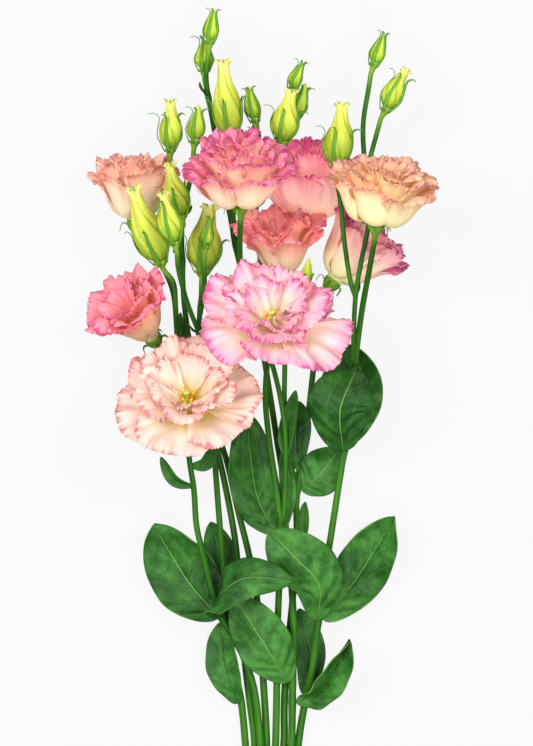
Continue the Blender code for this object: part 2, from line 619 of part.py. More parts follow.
def leaf_surface(leaf, start):
    """surface(u, v) of a leaf that starts at the point start."""
    route = [start, *leaf.route[1:]]
    line = smooth_path(route, 8)
    along = tangents(line)
    share = np.linspace(0, 1, len(line))
    first, last = (np.array(side, float) for side in leaf.sides)
    fold = math.radians(leaf.fold)
    phase = math.pi * chance(leaf.name, leaf.half_width, "phase")

    def surface(u, v):
        v = 0.5 - 0.5 * math.cos(math.pi * v)
        middle = np.array([np.interp(v, share, line[:, i]) for i in range(3)])
        direction = unit([np.interp(v, share, along[:, i]) for i in range(3)])
        side = first + (last - first) * v
        side = unit(side - direction * (side @ direction))
        face = np.cross(side, direction)
        face = face if face[2] > 0 else -face
        width = leaf.half_width * leaf_width(v)
        rise = abs(u) * width * math.sin(fold) * ease(v * 3)
        rise += leaf.wave * abs(u) ** 2 * ease(v * 2) * math.sin(2 * math.pi * 1.4 * v + phase * np.sign(u))
        return on_table(middle + side * u * width * math.cos(fold) + face * rise)

    return surface


def leaf_start(leaf, stem):
    """Where a leaf clasps its stem: on the stem's skin, on the side that the leaf leaves from."""
    wanted = np.array(leaf.route[0], float)
    points = np.array(stem.main, float)
    spans = np.linalg.norm(np.diff(points, axis=0), axis=1)
    nearest = None
    for i, (here, there) in enumerate(zip(points, points[1:])):
        along = (there - here) / spans[i]
        share = min(max((wanted - here) @ along, 0.0), spans[i])
        foot = here + along * share
        apart = float(np.linalg.norm(foot - wanted))
        if nearest is None or apart < nearest[0]:
            nearest = (apart, foot, along, (spans[:i].sum() + share) / spans.sum())
    _, foot, along, share = nearest
    out = np.array(leaf.route[1], float) - foot
    out = unit(out - along * (out @ along))
    radius = STEM_RADIUS + (NECK_RADIUS - STEM_RADIUS) * share
    root = LEAF_ROOT * leaf.half_width * abs(unit(leaf.sides[0]) @ out)
    return foot + out * (0.93 * radius + GAP + 0.5 * LEAF_THICKNESS + root)


def make_leaf(leaf, stem):
    finish = material(leaf.name, GREEN_LEAF, 0.55)
    cells = (2, 6) if leaf.half_width > 8 else (2, 4)
    return blade(leaf.name, leaf_surface(leaf, leaf_start(leaf, stem)), cells, LEAF_THICKNESS, finish)


def make_stem(stem):
    """A main stem with its twigs, calyxes and small upper leaves, as one green body."""
    finish = material(stem.name, GREEN_STEM, 0.5)
    body = stalk(stem.name, stem.main, STEM_RADIUS, stem.ends, finish)
    pieces = []
    for number, twig in enumerate(stem.twigs):
        pieces.append(stalk(f"twig_{number}", twig.via, TWIG_RADIUS, twig.ends, finish))
    for number, leaf in enumerate(stem.small_leaves):
        surface = leaf_surface(leaf, np.array(leaf.route[0], float))
        pieces.append(blade(f"small_leaf_{number}", surface, (2, 3), LEAF_THICKNESS, finish))
    return fuse(body, pieces)


def band_outline(reach):
    """The tight outline round the stems at the band, `reach` outside each stem's middle, as (x, z) points."""
    centres = [(stem.main[1][0], stem.main[1][2]) for stem in STEMS]
    outline = []
    for step in range(BAND_STEPS):
        angle = 2 * math.pi * step / BAND_STEPS
        spoke = np.array((math.cos(angle), math.sin(angle)))
        furthest = max(centres, key=lambda centre: spoke @ centre)
        outline.append(np.array(furthest) + spoke * reach)
    return outline


def make_band():
    """The flat band that holds the stems together."""
    inner = band_outline(STEM_RADIUS + GAP)
    outer = band_outline(STEM_RADIUS + GAP + BAND_WALL)
    ends = (BAND_Y - 0.5 * BAND_WIDTH, BAND_Y + 0.5 * BAND_WIDTH)

    def build(body):
        loops = [
            [body.verts.new((x * MM, y * MM, z * MM)) for x, z in outline]
            for outline, y in ((inner, ends[0]), (outer, ends[0]), (outer, ends[1]), (inner, ends[1]))
        ]
        for i, loop in enumerate(loops):
            beside = loops[(i + 1) % len(loops)]
            for corner in range(BAND_STEPS):
                after = (corner + 1) % BAND_STEPS
                body.faces.new((loop[corner], loop[after], beside[after], beside[corner]))
        bmesh.ops.recalc_face_normals(body, faces=body.faces)

    return mesh_object("band", build, material("band", BAND_COLOUR, 0.7), smooth=False)


def main():
    for old in list(bpy.data.objects):
        bpy.data.objects.remove(old)
    stems = {stem.name: stem for stem in STEMS}
    for stem in STEMS:
        make_stem(stem)
    for bloom in BLOOMS:
        make_bloom(bloom)
        if bloom.habit == "open":
            make_pistil(bloom)
    for bud in BUDS:
        make_bud(bud)
    for carrier, leaf in LEAVES:
        make_leaf(leaf, stems[carrier])
    make_band()


main()
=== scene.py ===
"""The finished look of a banded bunch of fringed lisianthus that lies on a table.

Every piece repeats the lines and sizes of the solid that it stands for. Places are in millimetres, with
+X to the right, +Y from the cut ends to the buds and +Z up, and `MM` turns them into Blender's metres.
"""

import math
import random
from collections import namedtuple

import bpy
import numpy as np
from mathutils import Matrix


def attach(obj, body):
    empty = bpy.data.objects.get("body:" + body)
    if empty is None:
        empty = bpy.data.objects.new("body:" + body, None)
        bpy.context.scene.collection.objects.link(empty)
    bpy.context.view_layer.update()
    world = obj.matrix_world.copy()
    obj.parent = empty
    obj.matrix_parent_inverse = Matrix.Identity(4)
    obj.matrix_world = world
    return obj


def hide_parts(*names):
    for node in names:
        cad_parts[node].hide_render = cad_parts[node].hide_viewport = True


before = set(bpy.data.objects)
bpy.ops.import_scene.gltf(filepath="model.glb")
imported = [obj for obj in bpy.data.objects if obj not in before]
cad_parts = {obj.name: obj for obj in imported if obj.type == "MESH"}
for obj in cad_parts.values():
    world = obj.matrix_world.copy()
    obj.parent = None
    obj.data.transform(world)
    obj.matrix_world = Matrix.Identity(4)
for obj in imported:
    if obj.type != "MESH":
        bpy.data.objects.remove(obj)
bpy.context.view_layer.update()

MM = 0.001
STEM_RADIUS = 2.15
TWIG_RADIUS = 1.3
NECK_RADIUS = 1.45
CALYX_RADIUS = 4.9
SEPALS = 5
GAP = 0.3  # between pieces that touch on the real plant
TABLE_CLEARANCE = 0.4  # the middle of no sheet lies lower than this

PETAL_WALL = 0.3
LEAF_WALL = 0.5
SEPAL_WALL = 0.4

# One ring of petals. Lean is the angle from the bloom's axis at the petal's root, middle and rim, and curl
# is what the rim adds to it, in degrees. Wave and frill are in mm. A ring goes all the way round, or fills
# only an arc, whose middle and width are in degrees.
Whorl = namedtuple("Whorl", "count length lean half_angle curl wave frill cells arc", defaults=(None,))
OUTER_CELLS = (66, 16)
MIDDLE_CELLS = (58, 15)
INNER_CELLS = (48, 14)
SMALL_CELLS = (32, 12)
HABITS = {
    "open": [
        Whorl(6, 37, (62, 68, 84), 43, 30, 2.2, 0.9, OUTER_CELLS),
        Whorl(5, 34, (40, 38, 54), 50, 44, 1.8, 1.1, OUTER_CELLS),
        Whorl(5, 29, (26, 30, 44), 48, 44, 1.5, 1.2, MIDDLE_CELLS),
        Whorl(1, 19, (20, 24, 42), 52, 30, 1.0, 1.1, INNER_CELLS, (200, 0)),
    ],
    "wide_open": [
        Whorl(6, 37, (56, 66, 88), 42, 28, 2.4, 0.9, OUTER_CELLS),
        Whorl(5, 35, (42, 42, 64), 50, 40, 2.4, 1.1, OUTER_CELLS),
        Whorl(4, 29, (26, 32, 56), 52, 40, 2.0, 1.3, MIDDLE_CELLS),
        Whorl(1, 26, (18, 26, 44), 50, 30, 1.2, 1.1, INNER_CELLS, (160, 0)),
        Whorl(4, 22, (24, 38, 76), 24, 40, 1.8, 1.5, SMALL_CELLS, (-12, 120)),
        Whorl(3, 18, (18, 32, 76), 24, 40, 1.8, 1.5, SMALL_CELLS, (-5, 80)),
    ],
    "dome": [
        Whorl(5, 40, (134, 28, 86), 47, 26, 2.0, 0.9, OUTER_CELLS),
        Whorl(5, 36, (88, 20, 68), 48, 36, 1.8, 1.1, OUTER_CELLS),
        Whorl(5, 35, (60, 13, 50), 54, 36, 1.5, 1.2, MIDDLE_CELLS),
        Whorl(4, 34, (34, 8, 34), 58, 34, 1.3, 1.3, MIDDLE_CELLS),
        Whorl(4, 33, (16, 4, 20), 56, 30, 1.3, 1.3, INNER_CELLS),
    ],
    "bowl": [
        Whorl(5, 38, (138, 22, 82), 48, 34, 1.8, 0.9, OUTER_CELLS),
        Whorl(5, 35, (92, 22, 80), 48, 36, 1.8, 1.0, OUTER_CELLS),
        Whorl(5, 31, (66, 16, 64), 48, 36, 1.6, 1.1, MIDDLE_CELLS),
        Whorl(4, 28, (38, 12, 50), 50, 34, 1.4, 1.2, MIDDLE_CELLS),
        Whorl(4, 26, (18, 6, 30), 48, 30, 1.4, 1.2, INNER_CELLS),
    ],
    "trumpet": [
        Whorl(5, 36, (74, 20, 82), 50, 26, 2.4, 0.8, OUTER_CELLS),
        Whorl(4, 35, (46, 14, 66), 56, 30, 2.4, 0.9, OUTER_CELLS),
        Whorl(4, 32, (26, 9, 48), 54, 34, 1.8, 1.0, MIDDLE_CELLS),
    ],
    "skirt": [
        Whorl(5, 42, (154, 20, 56), 48, 30, 1.8, 0.9, OUTER_CELLS),
        Whorl(5, 37, (60, 10, 50), 48, 30, 1.8, 1.1, OUTER_CELLS),
        Whorl(4, 36, (30, 8, 44), 52, 34, 1.6, 1.2, MIDDLE_CELLS),
        Whorl(4, 34, (12, 5, 28), 48, 30, 1.4, 1.3, INNER_CELLS),
    ],
    "bell": [
        Whorl(5, 38, (86, 14, 66), 48, 34, 2.2, 0.9, OUTER_CELLS),
        Whorl(5, 37, (48, 12, 52), 48, 34, 2.0, 1.0, OUTER_CELLS),
        Whorl(4, 35, (26, 9, 44), 52, 34, 1.6, 1.1, MIDDLE_CELLS),
        Whorl(4, 33, (12, 6, 30), 48, 30, 1.4, 1.2, INNER_CELLS),
    ],
    "funnel": [
        Whorl(5, 37, (60, 22, 64), 57, 30, 1.8, 0.9, OUTER_CELLS),
        Whorl(4, 35, (36, 20, 58), 62, 36, 1.8, 1.0, OUTER_CELLS),
        Whorl(4, 29, (20, 14, 48), 58, 34, 1.5, 1.0, MIDDLE_CELLS),
    ],
}
# For the outer petals of the two open blooms, in order: a factor on their ring's length, and what they add
# to its lean. Only these two show their stamens.
OUTER_PETALS = {
    "bloom_peach_open": ((1.0, 4), (1.0, -14), (1.0, -14), (1.04, 2), (1.0, 2), (0.98, 0)),
    "bloom_pink_open": ((0.98, 0), (0.92, -14), (1.0, 2), (1.02, 12), (0.86, -4), (1.14, 12)),
}
ROOT_RADIUS = 3.7
ROOT_HEIGHT = 1.4
ROOT_STEP = 1.0  # how much higher each inner ring starts
ROW_CROWDING = 1.35  # crowds the rows of cells towards the frilled rim
RIM_ROUNDING = 0.22  # how much shorter a petal is at its sides
SQUARE_RIM_ROUNDING = 0.12  # the same where the bloom is seen from its side
CLAW = 0.5  # share of a petal's width that its narrow root has
OVERLAP_LIFT = 1.5  # how far each petal's one edge stands out over the next petal
BELLY = 2.8  # how far a petal bulges out between its edges, low down
# How far one petal may stray from its ring: in its angle, in radians, in its length, as a share of it, and
# in its lean at the rim and at the root, in degrees.
PETAL_STRAY = 0.08
LENGTH_STRAY = 0.06
LEAN_STRAY = 6
ROOT_STRAY = 14
LEAN_TWIST = 9  # how many degrees further out one edge of a petal may lean than its middle
EDGE_ROLL = 1.6  # how far a petal's sides may roll in or out
WAVES_ROUND = 7  # soft waves round a whole ring
FRILL_LENGTH = 2.8  # along the rim, from one fold of the frill to the next
BILLOW_LENGTH = 14.0  # along the rim, from one soft wave of the blade to the next
FRINGE_DEPTH = 0.5  # how far the rim's teeth stand out
# Shares of a petal's length, or of its half width, over which each form grows.
CLAW_ZONE = (0.0, 0.45)
OVERLAP_ZONE = (0.0, 0.3)
WAVE_ZONE = (0.35, 1.0)
BILLOW_ZONE = (0.45, 0.95)
ROLL_ZONE = (0.3, 0.7)
CURL_ZONE = (0.76, 1.0)
FRILL_ZONE = (0.82, 1.0)
SIDE_FRILL_ZONE = (0.4, 0.8)
SIDE_EDGE_ZONE = (0.84, 1.0)
CORNER_ZONE = (0.6, 1.0)
BELLY_TOP = 0.8

# A bloom stands at `base`, the top of its calyx, and opens along `facing`. Its petals lean out more on the
# side at `heavy_side`, an angle round the axis, by up to `droop`, both in degrees. Their colours run from
# root to rim.
Bloom = namedtuple("Bloom", "name habit base facing size turn droop heavy_side inner outer")
BLOOMS = [
    Bloom("bloom_peach_open", "open", (-38, 18, 37), (-0.05, 0.62, 0.78), 1.0, 12, 0, -90,
          ("e8cc40", "f8de70", "fdecc4", "fdeade", "fcd8cc", "e8949c"),
          ("f2e8a0", "fbecb4", "fcecd0", "fbe6da", "f9d4ca", "e48e9a")),
    Bloom("bloom_pink_open", "wide_open", (5, 58, 63), (0.03, 0.70, 0.71), 1.0, 30, 0, -70,
          ("f4d440", "fee488", "fff0d0", "fee4e2", "fab2cc", "e06ca8"),
          ("f2e8b0", "fcecca", "fdeadc", "fddcdc", "f9acc8", "da62a0")),
    Bloom("bloom_pink_top", "dome", (-11, 127, 66), (-0.03, 0.94, 0.34), 0.96, 0, 6, -90,
          ("fcf0d0", "fee4d8", "fed2d4", "feb8c8", "fa98b8", "d45c9e"),
          ("f8f2b4", "fdf4c4", "fef4cc", "fee4ca", "fca6b6", "d45496")),
    Bloom("bloom_magenta", "skirt", (26, 125, 10.9), (-0.04, 0.97, 0.24), 1.0, 20, 8, 180,
          ("fff0dc", "fedce0", "fdbad0", "f894be", "ee70ac", "bc488e"),
          ("faf6c8", "fef8d2", "fff4da", "ffe4d6", "fca8be", "dc60a0")),
    Bloom("bloom_salmon", "trumpet", (10, 91, 22), (-0.02, 0.93, 0.36), 0.97, 20, 8, 180,
          ("fff2c8", "ffe6c8", "ffd2c0", "ffbeb4", "feaaaa", "ec7a98"),
          ("fdf4be", "fff6cc", "ffecca", "ffceba", "feaaa8", "ec7e98")),
    Bloom("bloom_cream_right", "bowl", (59, 117, 75), (0.08, 0.96, 0.26), 1.0, 36, 12, -10,
          ("fdf8cc", "fff4cc", "ffe8c2", "fedab4", "fdccb0", "e09c90"),
          ("f0f6b0", "fafabe", "fefacc", "fff2c6", "fedab0", "e2a092")),
    Bloom("bloom_mauve", "bell", (38, 88, 17.8), (0.60, 0.80, 0.0), 1.0, 40, 12, -40,
          ("faf2dc", "f8e2e2", "f4bccc", "ea9ab8", "d46a9c", "a03c74"),
          ("f4f6b8", "fcfac8", "fff4d0", "fee0cc", "f6a8ba", "c0548c")),
    Bloom("bloom_peach_left", "bell", (-66.5, 120, 10.8), (-0.01, 0.97, 0.22), 0.92, 5, 5, 190,
          ("fcf4d2", "fff0da", "ffe6d4", "fedac8", "fdcaba", "e0a094"),
          ("fbf8c8", "fffad4", "fff2d6", "fee2cc", "fecfb8", "e4a494")),
    Bloom("bloom_coral_left", "funnel", (-58, 58, 6.8), (-0.50, 0.65, 0.57), 0.97, 25, 6, 180,
          ("fdc490", "fca084", "fb948a", "fba0a8", "fcaabc", "e8689e"),
          ("fdf6c8", "fff6cc", "ffe8bc", "fec4a4", "fb9ea4", "e66c96")),
]

# The outline of a ripe and of a young bud: (share of its length, share of its greatest radius).
RIPE_PROFILE = [
    (0.0, 0.36), (0.05, 0.56), (0.13, 0.83), (0.25, 0.99), (0.38, 1.0), (0.52, 0.84), (0.68, 0.55),
    (0.83, 0.41), (0.94, 0.41), (1.0, 0.5),
]
YOUNG_PROFILE = [(0.0, 0.45), (0.12, 0.8), (0.3, 1.0), (0.6, 0.72), (0.85, 0.38), (1.0, 0.16)]
BUD_TWIST = 110  # degrees that a ripe bud's petals turn round it from root to tip
BUD_LOBE = 0.11  # how far a petal's edge stands out, as a share of the bud's radius
BUD_BOW = 0.03  # how far a bud may bend, as a share of its length
PUCKER = 0.044  # how deep its dents are, as a share of its radius

# A bud runs from `base`, the top of its stalk, to `tip`. Sepals are as long as `reach` times the bud.
Bud = namedtuple("Bud", "name base tip width ripe reach flare")
BUDS = [
    Bud("bud_01", (-27, 213, 31), (-25, 229, 33), 8.4, False, 1.05, 2.5),
    Bud("bud_02", (-30, 199, 22), (-30, 214, 22), 10.4, False, 1.15, 5.5),
    Bud("bud_03", (-16, 163, 34), (-20, 203, 38), 15.4, True, 0.5, 4.0),
    Bud("bud_04", (-3.5, 172, 29), (-7, 189, 30), 8.4, False, 1.0, 3.0),
    Bud("bud_05", (-3, 160, 22), (-4, 171, 22), 6.0, False, 0.8, 1.0),
    Bud("bud_06", (11, 160, 43), (16, 187, 46), 14.6, True, 0.62, 5.0),
    Bud("bud_07", (16, 188, 34), (21, 201, 36), 7.4, False, 1.1, 2.0),
    Bud("bud_08", (18, 174, 22), (23, 191, 23), 9.4, False, 0.95, 4.0),
    Bud("bud_09", (-48, 157, 22), (-48, 183, 25), 12.4, True, 0.72, 6.5),
    Bud("bud_10", (-35, 161, 30), (-33, 179, 31), 9.8, False, 0.95, 5.5),
    Bud("bud_11", (-42, 122, 36), (-48, 149, 44), 13.4, True, 0.6, 4.0),
    Bud("bud_12", (-53, 98, 36), (-67, 136, 50), 17.6, True, 0.5, 2.5),
    Bud("bud_13", (-45, 107, 60), (-51, 133, 64), 12.6, True, 0.85, 3.5),
    Bud("bud_14", (-31, 93, 20), (-27, 128, 22), 18.6, True, 0.5, 5.0),
    Bud("bud_15", (-29, 106, 36), (-27, 118, 38), 7.2, False, 1.25, 1.5),
    Bud("bud_16", (39, 147, 47), (42, 180, 49), 15.4, True, 0.6, 6.0),
    Bud("bud_17", (59, 201, 34), (64, 216, 35), 8.4, False, 1.1, 1.5),
    Bud("bud_18", (65, 177, 38), (76, 198, 40), 11.4, True, 0.85, 5.0),
    Bud("bud_19", (23, 86, 34), (25, 99, 36), 6.4, False, 0.4, 0.8),
]

# A stem runs along `main` from its cut end, and ends under the flower `ends`. Each twig starts on it.
Stem = namedtuple("Stem", "name main ends twigs small_leaves")
Twig = namedtuple("Twig", "via ends")
# A leaf grows along `route`. Its blade spreads along `side` at the root and at the tip.
Leaf = namedtuple("Leaf", "name route half_width sides fold wave")

BAND_Y = -167.0
BAND_WIDTH = 6.0
BAND_WALL = 1.0
BAND_STEPS = 18
# The stems lie in two rows in the band, and its flat underside rests on the table.
BACK_ROW_Z = (STEM_RADIUS + GAP + BAND_WALL) * math.cos(math.pi / BAND_STEPS)
FRONT_ROW_Z = BACK_ROW_Z + 4.0

STEMS = [
    Stem(
        "stem_1",
        [(-10, -227, 2.4), (-8.6, BAND_Y, BACK_ROW_Z), (-9, -153, 3.8), (-11, -134, 5),
         (-15, -113, 7), (-18, -89, 8), (-20, -66, 8), (-22, -43, 8.5), (-24, -17, 10),
         (-26, 9, 11.3), (-29, 35, 11.3), (-33, 60, 11.3), (-32, 76, 14)],
        "bud_14",
        [
            Twig([(-33, 60, 11.3), (-39, 76, 29), (-43, 92, 47)], "bud_13"),
            Twig([(-32, 74, 13), (-30, 84, 27), (-30, 95, 35)], "bud_15"),
        ],
        [],
    ),
    Stem(
        "stem_2",
        [(-4.8, -224, 2.4), (-3.8, BAND_Y, BACK_ROW_Z), (-4, -153, 3.8), (-6, -137, 4),
         (-9, -112, 4), (-11, -82, 5), (-14, -50, 5.5), (-19, -22, 5), (-24, 0, 6.6),
         (-31, 25, 6.8), (-37.5, 52, 7), (-41, 77, 10), (-42, 102, 13), (-42.5, 122, 17),
         (-46, 142, 20)],
        "bud_09",
        [
            Twig([(-42, 98, 12.5), (-43, 111, 25)], "bud_11"),
            Twig([(-42.5, 120, 17), (-38, 138, 24), (-36, 150, 28)], "bud_10"),
        ],
        [],
    ),
    Stem(
        "stem_3",
        [(-1.4, -228, 7), (-0.7, BAND_Y, FRONT_ROW_Z), (-1, -153, 7.8), (-4, -128, 9.5),
         (-10, -110, 12), (-17, -97, 13.5), (-22, -88, 15), (-27, -73, 16.8), (-30.6, -57, 20.6),
         (-34.2, -41, 23.8), (-35.5, -22, 27.4), (-38, -4, 30.5)],
        "bloom_peach_open",
        [],
        [
            Leaf("", [(-35.7, -21, 28.0), (-46, -17, 30), (-53, -5, 29)],
                 3.2, ((0.4, 0.8, 0.4), (0.7, 0.7, 0.2)), 15, 0),
            Leaf("", [(-37.2, -10, 29.3), (-29, -8, 29), (-25, 1, 28)],
                 4.0, ((-0.3, 0.8, 0.4), (-0.8, 0.5, 0.2)), 15, 0),
        ],
    ),
    Stem(
        "stem_4",
        [(1.4, -225, 2.4), (2.4, BAND_Y, BACK_ROW_Z), (2.5, -153, 3.6), (1, -126, 4.5),
         (-1, -100, 4), (-3, -76, 3.5), (-7, -56, 3), (-13, -32, 2.6), (-19, -6, 2.4),
         (-27, 14, 2.4), (-38, 28, 2.8), (-47, 42, 3)],
        "bloom_coral_left",
        [
            Twig([(-44, 38, 2.9), (-44.5, 54, 11), (-45, 74, 27), (-46, 86, 33)], "bud_12"),
            Twig([(-44, 38, 2.9), (-45, 60, 4), (-47, 82, 6), (-54, 97, 8), (-64, 106, 9.5)],
                 "bloom_peach_left"),
        ],
        [Leaf("", [(-44, 37, 5), (-43, 50, 7), (-43, 71, 8)],
              3.6, ((0.9, 0.1, 0.3), (0.9, 0.1, 0.3)), 15, 0)],
    ),
    Stem(
        "stem_5",
        [(7.3, -229, 6.8), (7.2, BAND_Y, FRONT_ROW_Z), (7.5, -153, 7.8), (8, -128, 9),
         (8, -105, 11), (9, -79, 14), (10, -44, 17), (7, -17, 22), (4, 4, 27), (2, 25, 37),
         (3, 44, 50)],
        "bloom_pink_open",
        [
            Twig([(10, -44, 17), (12, -32, 20), (12.5, 4, 25), (10, 25, 28), (6, 42, 30),
                  (0, 62, 30), (-7, 84, 31), (-11, 98, 42), (-11, 113, 56)],
                 "bloom_pink_top"),
        ],
        [Leaf("", [(12.3, -5, 24), (13, 8, 22), (18, 30, 18)],
              4.4, ((0.9, -0.3, 0.2), (0.9, -0.4, 0.1)), 20, 0)],
    ),
    Stem(
        "stem_6",
        [(12.2, -223, 2.4), (11.6, BAND_Y, BACK_ROW_Z), (12, -153, 3.6), (12, -136, 3.5),
         (13.5, -110, 4), (16.5, -80, 4.5), (18.5, -50, 6.5), (18.5, -22, 8), (22, -4, 6),
         (25, 20, 5), (28, 46, 5), (31, 68, 10)],
        "bloom_mauve",
        [
            Twig([(18.5, -22, 8), (15, -6, 14), (12.5, 9, 17), (12, 28, 17), (12, 50, 17),
                  (9, 68, 17)],
                 "bloom_salmon"),
            Twig([(12, 50, 17), (19, 66, 22), (22, 77, 29)], "bud_19"),
        ],
        [Leaf("", [(18.3, -53, 7), (21.5, -44, 8), (23, -29, 8)],
              3.4, ((0.9, -0.2, 0.2), (0.9, 0, 0.2)), 15, 0)],
    ),
    Stem(
        "stem_7",
        [(16.6, -227, 7), (15.5, BAND_Y, FRONT_ROW_Z), (16, -153, 7.8), (16.3, -125, 9.2),
         (17, -100, 9.8), (16, -76, 10), (13, -48, 7), (12, -22, 5), (8, 4, 4), (4, 30, 4),
         (0, 54, 5), (-6, 76, 8), (-12, 98, 11), (-17, 124, 15), (-22, 150, 19), (-28, 184, 22)],
        "bud_02",
        [
            Twig([(-28, 184, 22), (-29, 195, 29)], "bud_01"),
            Twig([(-14, 108, 12.5), (-15, 124, 20), (-16, 145, 30)], "bud_03"),
            Twig([(0, 54, 5), (1, 76, 7), (-1, 100, 11), (-3, 124, 19), (2, 138, 33), (7, 149, 40)],
                 "bud_06"),
            Twig([(-3, 124, 19), (-5, 140, 25), (-5, 160, 29)], "bud_04"),
            Twig([(-4, 132, 22), (-3, 145, 21)], "bud_05"),
            Twig([(-3, 125, 20), (1, 146, 28), (9, 164, 32), (14, 178, 33.5)], "bud_07"),
            Twig([(1, 146, 28), (10, 160, 24)], "bud_08"),
            Twig([(1, 76, 7), (10, 92, 4), (22, 104, 4.5), (25, 112, 8)], "bloom_magenta"),
        ],
        [],
    ),
    Stem(
        "stem_8",
        [(21, -225, 2.4), (19.4, BAND_Y, BACK_ROW_Z), (20, -153, 4.2), (23, -135, 6), (27, -116, 9),
         (30, -91, 12), (34, -63, 15), (38, -37, 18), (42, -11, 21), (44, 1, 22), (47, 25, 27),
         (49, 45, 34), (52, 70, 44), (56, 94, 58)],
        "bloom_cream_right",
        [
            Twig([(48, 38, 31), (48, 58, 39), (49, 80, 45), (52, 98, 48), (55, 113, 48.5),
                  (56, 128, 45), (54, 146, 41), (53, 168, 37), (56, 188, 34)],
                 "bud_17"),
            Twig([(49, 78, 44.5), (46, 88, 45), (43, 108, 45), (41, 128, 45.5)], "bud_16"),
            Twig([(54, 142, 42), (59, 160, 39)], "bud_18"),
        ],
        [],
    ),
]

# Each large leaf names the stem that carries it.
LEAVES = [
    ("stem_3", Leaf("leaf_01", [(-22, -90, 13), (-39, -71, 7), (-57, -41, 17)],
                    18.0, ((0.83, 0.56, 0), (0.83, 0.56, 0.2)), 12, 1.2)),
    ("stem_2", Leaf("leaf_02", [(-12.5, -80, 1.5), (-20, -62, -1), (-27, -40, 3)],
                    8.5, ((0.95, 0.3, 0), (0.95, 0.3, 0)), 3, 0.1)),
    ("stem_3", Leaf("leaf_03", [(-22, -90, 19), (-23, -79, 29), (-9, -68, 38), (16, -69, 44)],
                    11.5, ((0.45, 0.8, -0.3), (0, 1, 0.1)), -14, 0.8)),
    ("stem_7", Leaf("leaf_04", [(16.3, -124, 12), (3, -106, 24), (-14, -78, 27)],
                    14.5, ((0.82, 0.57, 0.1), (0.82, 0.57, 0)), -12, 1.0)),
    ("stem_1", Leaf("leaf_05", [(-11, -136, 9), (-20, -116, 12), (-22, -93, 11)],
                    9.0, ((0.8, 0.5, 0.3), (0.95, 0.2, 0.3)), 14, 0.6)),
    ("stem_7", Leaf("leaf_06", [(16.2, -136, 11), (33, -126, 15), (46, -101, 24)],
                    11.0, ((-0.55, 0.75, 0.3), (-0.7, 0.6, 0.4)), 46, 1.2)),
    ("stem_8", Leaf("leaf_07", [(24, -132, 3), (26, -110, 2), (20, -86, 2)],
                    8.0, ((1, 0, 0), (1, 0, 0)), 3, 0.2)),
    ("stem_8", Leaf("leaf_08", [(30, -91, 16), (30, -72, 28), (18, -58, 34), (4, -44, 30)],
                    16.0, ((0.9, 0.4, 0.1), (0.86, 0.52, 0)), -16, 1.0)),
    ("stem_8", Leaf("leaf_09", [(30, -91, 9), (51, -69, 4), (70, -37, 18)],
                    14.5, ((-0.79, 0.61, 0), (-0.79, 0.61, -0.2)), 14, 1.6)),
    ("stem_6", Leaf("leaf_10", [(18.5, -23, 9), (30, -15, 13), (41.5, -1, 8)],
                    12.0, ((-0.6, 0.8, 0), (-0.7, 0.7, 0)), -10, 1.0)),
    ("stem_8", Leaf("leaf_11", [(43, -2, 25), (41, 20, 45), (50, 42, 41)],
                    18.5, ((1, 0.1, 0), (1, -0.2, 0)), -20, 1.2)),
    ("stem_8", Leaf("leaf_12", [(44, 1, 19), (47, 25, 12), (47, 54, 15)],
                    17.0, ((1, 0, 0), (1, 0, 0)), 12, 1.0)),
    ("stem_5", Leaf("leaf_13", [(9, -46, 15), (-3, -24, 10), (-8, 18, 16)],
                    13.0, ((0.9, 0.4, 0), (1, 0.1, 0)), 10, 2.0)),
    ("stem_5", Leaf("leaf_14", [(10.5, -44, 14), (14, -24, 15.5), (11, -2, 20)],
                    4.2, ((1, 0, 0), (1, 0, 0)), 8, 0.3)),
    ("stem_6", Leaf("leaf_15", [(20, -12, 10), (18, 7, 11), (20, 24, 10)],
                    8.0, ((1, 0, 0), (1, 0, 0)), 8, 0.3)),
]
LEAF_ROOT = 0.06  # a leaf's half width where it clasps its stem, of which its greatest is 1
LEAF_SEAT = 0.93  # share of a stem's radius at which a leaf's root sits
SOLID_LEAF_WALL = 0.8  # the wall of the solid that a leaf stands for


def unit(vector):
    """The same direction with a length of 1."""
    vector = np.asarray(vector, float)
    return vector / np.linalg.norm(vector)


def ease(share):
    """0 to 1 smoothly, as share goes from 0 to 1."""
    share = np.clip(share, 0.0, 1.0)
    return share * share * (3 - 2 * share)


def rising(value, zone):
    """0 to 1 smoothly, as value goes from the zone's start to its end."""
    return ease((value - zone[0]) / (zone[1] - zone[0]))


def chance(*key):
    """A draw from -1 to 1 that is the same each time for the same key."""
    return random.Random("-".join(str(part) for part in key)).uniform(-1, 1)


def smooth_path(points, per_span):
    """A rounded line through the points, with per_span steps from each to the next."""
    given = np.array(points, float)
    given = np.vstack([2 * given[0] - given[1], given, 2 * given[-1] - given[-2]])
    line = []
    for i in range(1, len(given) - 2):
        before, here, there, after = given[i - 1 : i + 3]
        for t in np.arange(per_span) / per_span:
            line.append(
                0.5
                * (
                    2 * here
                    + (there - before) * t
                    + (2 * before - 5 * here + 4 * there - after) * t**2
                    + (3 * here - before - 3 * there + after) * t**3
                )
            )
    line.append(given[-2])
    return np.array(line)


def tangents(line):
    """The direction of a line at each of its points."""
    steps = np.gradient(line, axis=0)
    return steps / np.linalg.norm(steps, axis=1)[:, None]


def crossways(line):
    """Two directions square to the line at each of its points, carried along it without turning."""
    along = tangents(line)
    side = unit(np.cross(along[0], (0.03, 0.05, 1.0)))
    sides = []
    for direction in along:
        side = unit(side - direction * (side @ direction))
        sides.append(side)
    sides = np.array(sides)
    return sides, np.cross(sides, along)


def along_line(share, line):
    """The points of a line at each share of its number of steps."""
    steps = np.linspace(0, 1, len(line))
    return np.stack([np.interp(share, steps, line[:, axis]) for axis in range(3)], axis=1)


def deselect():
    bpy.ops.object.select_all(action="DESELECT")


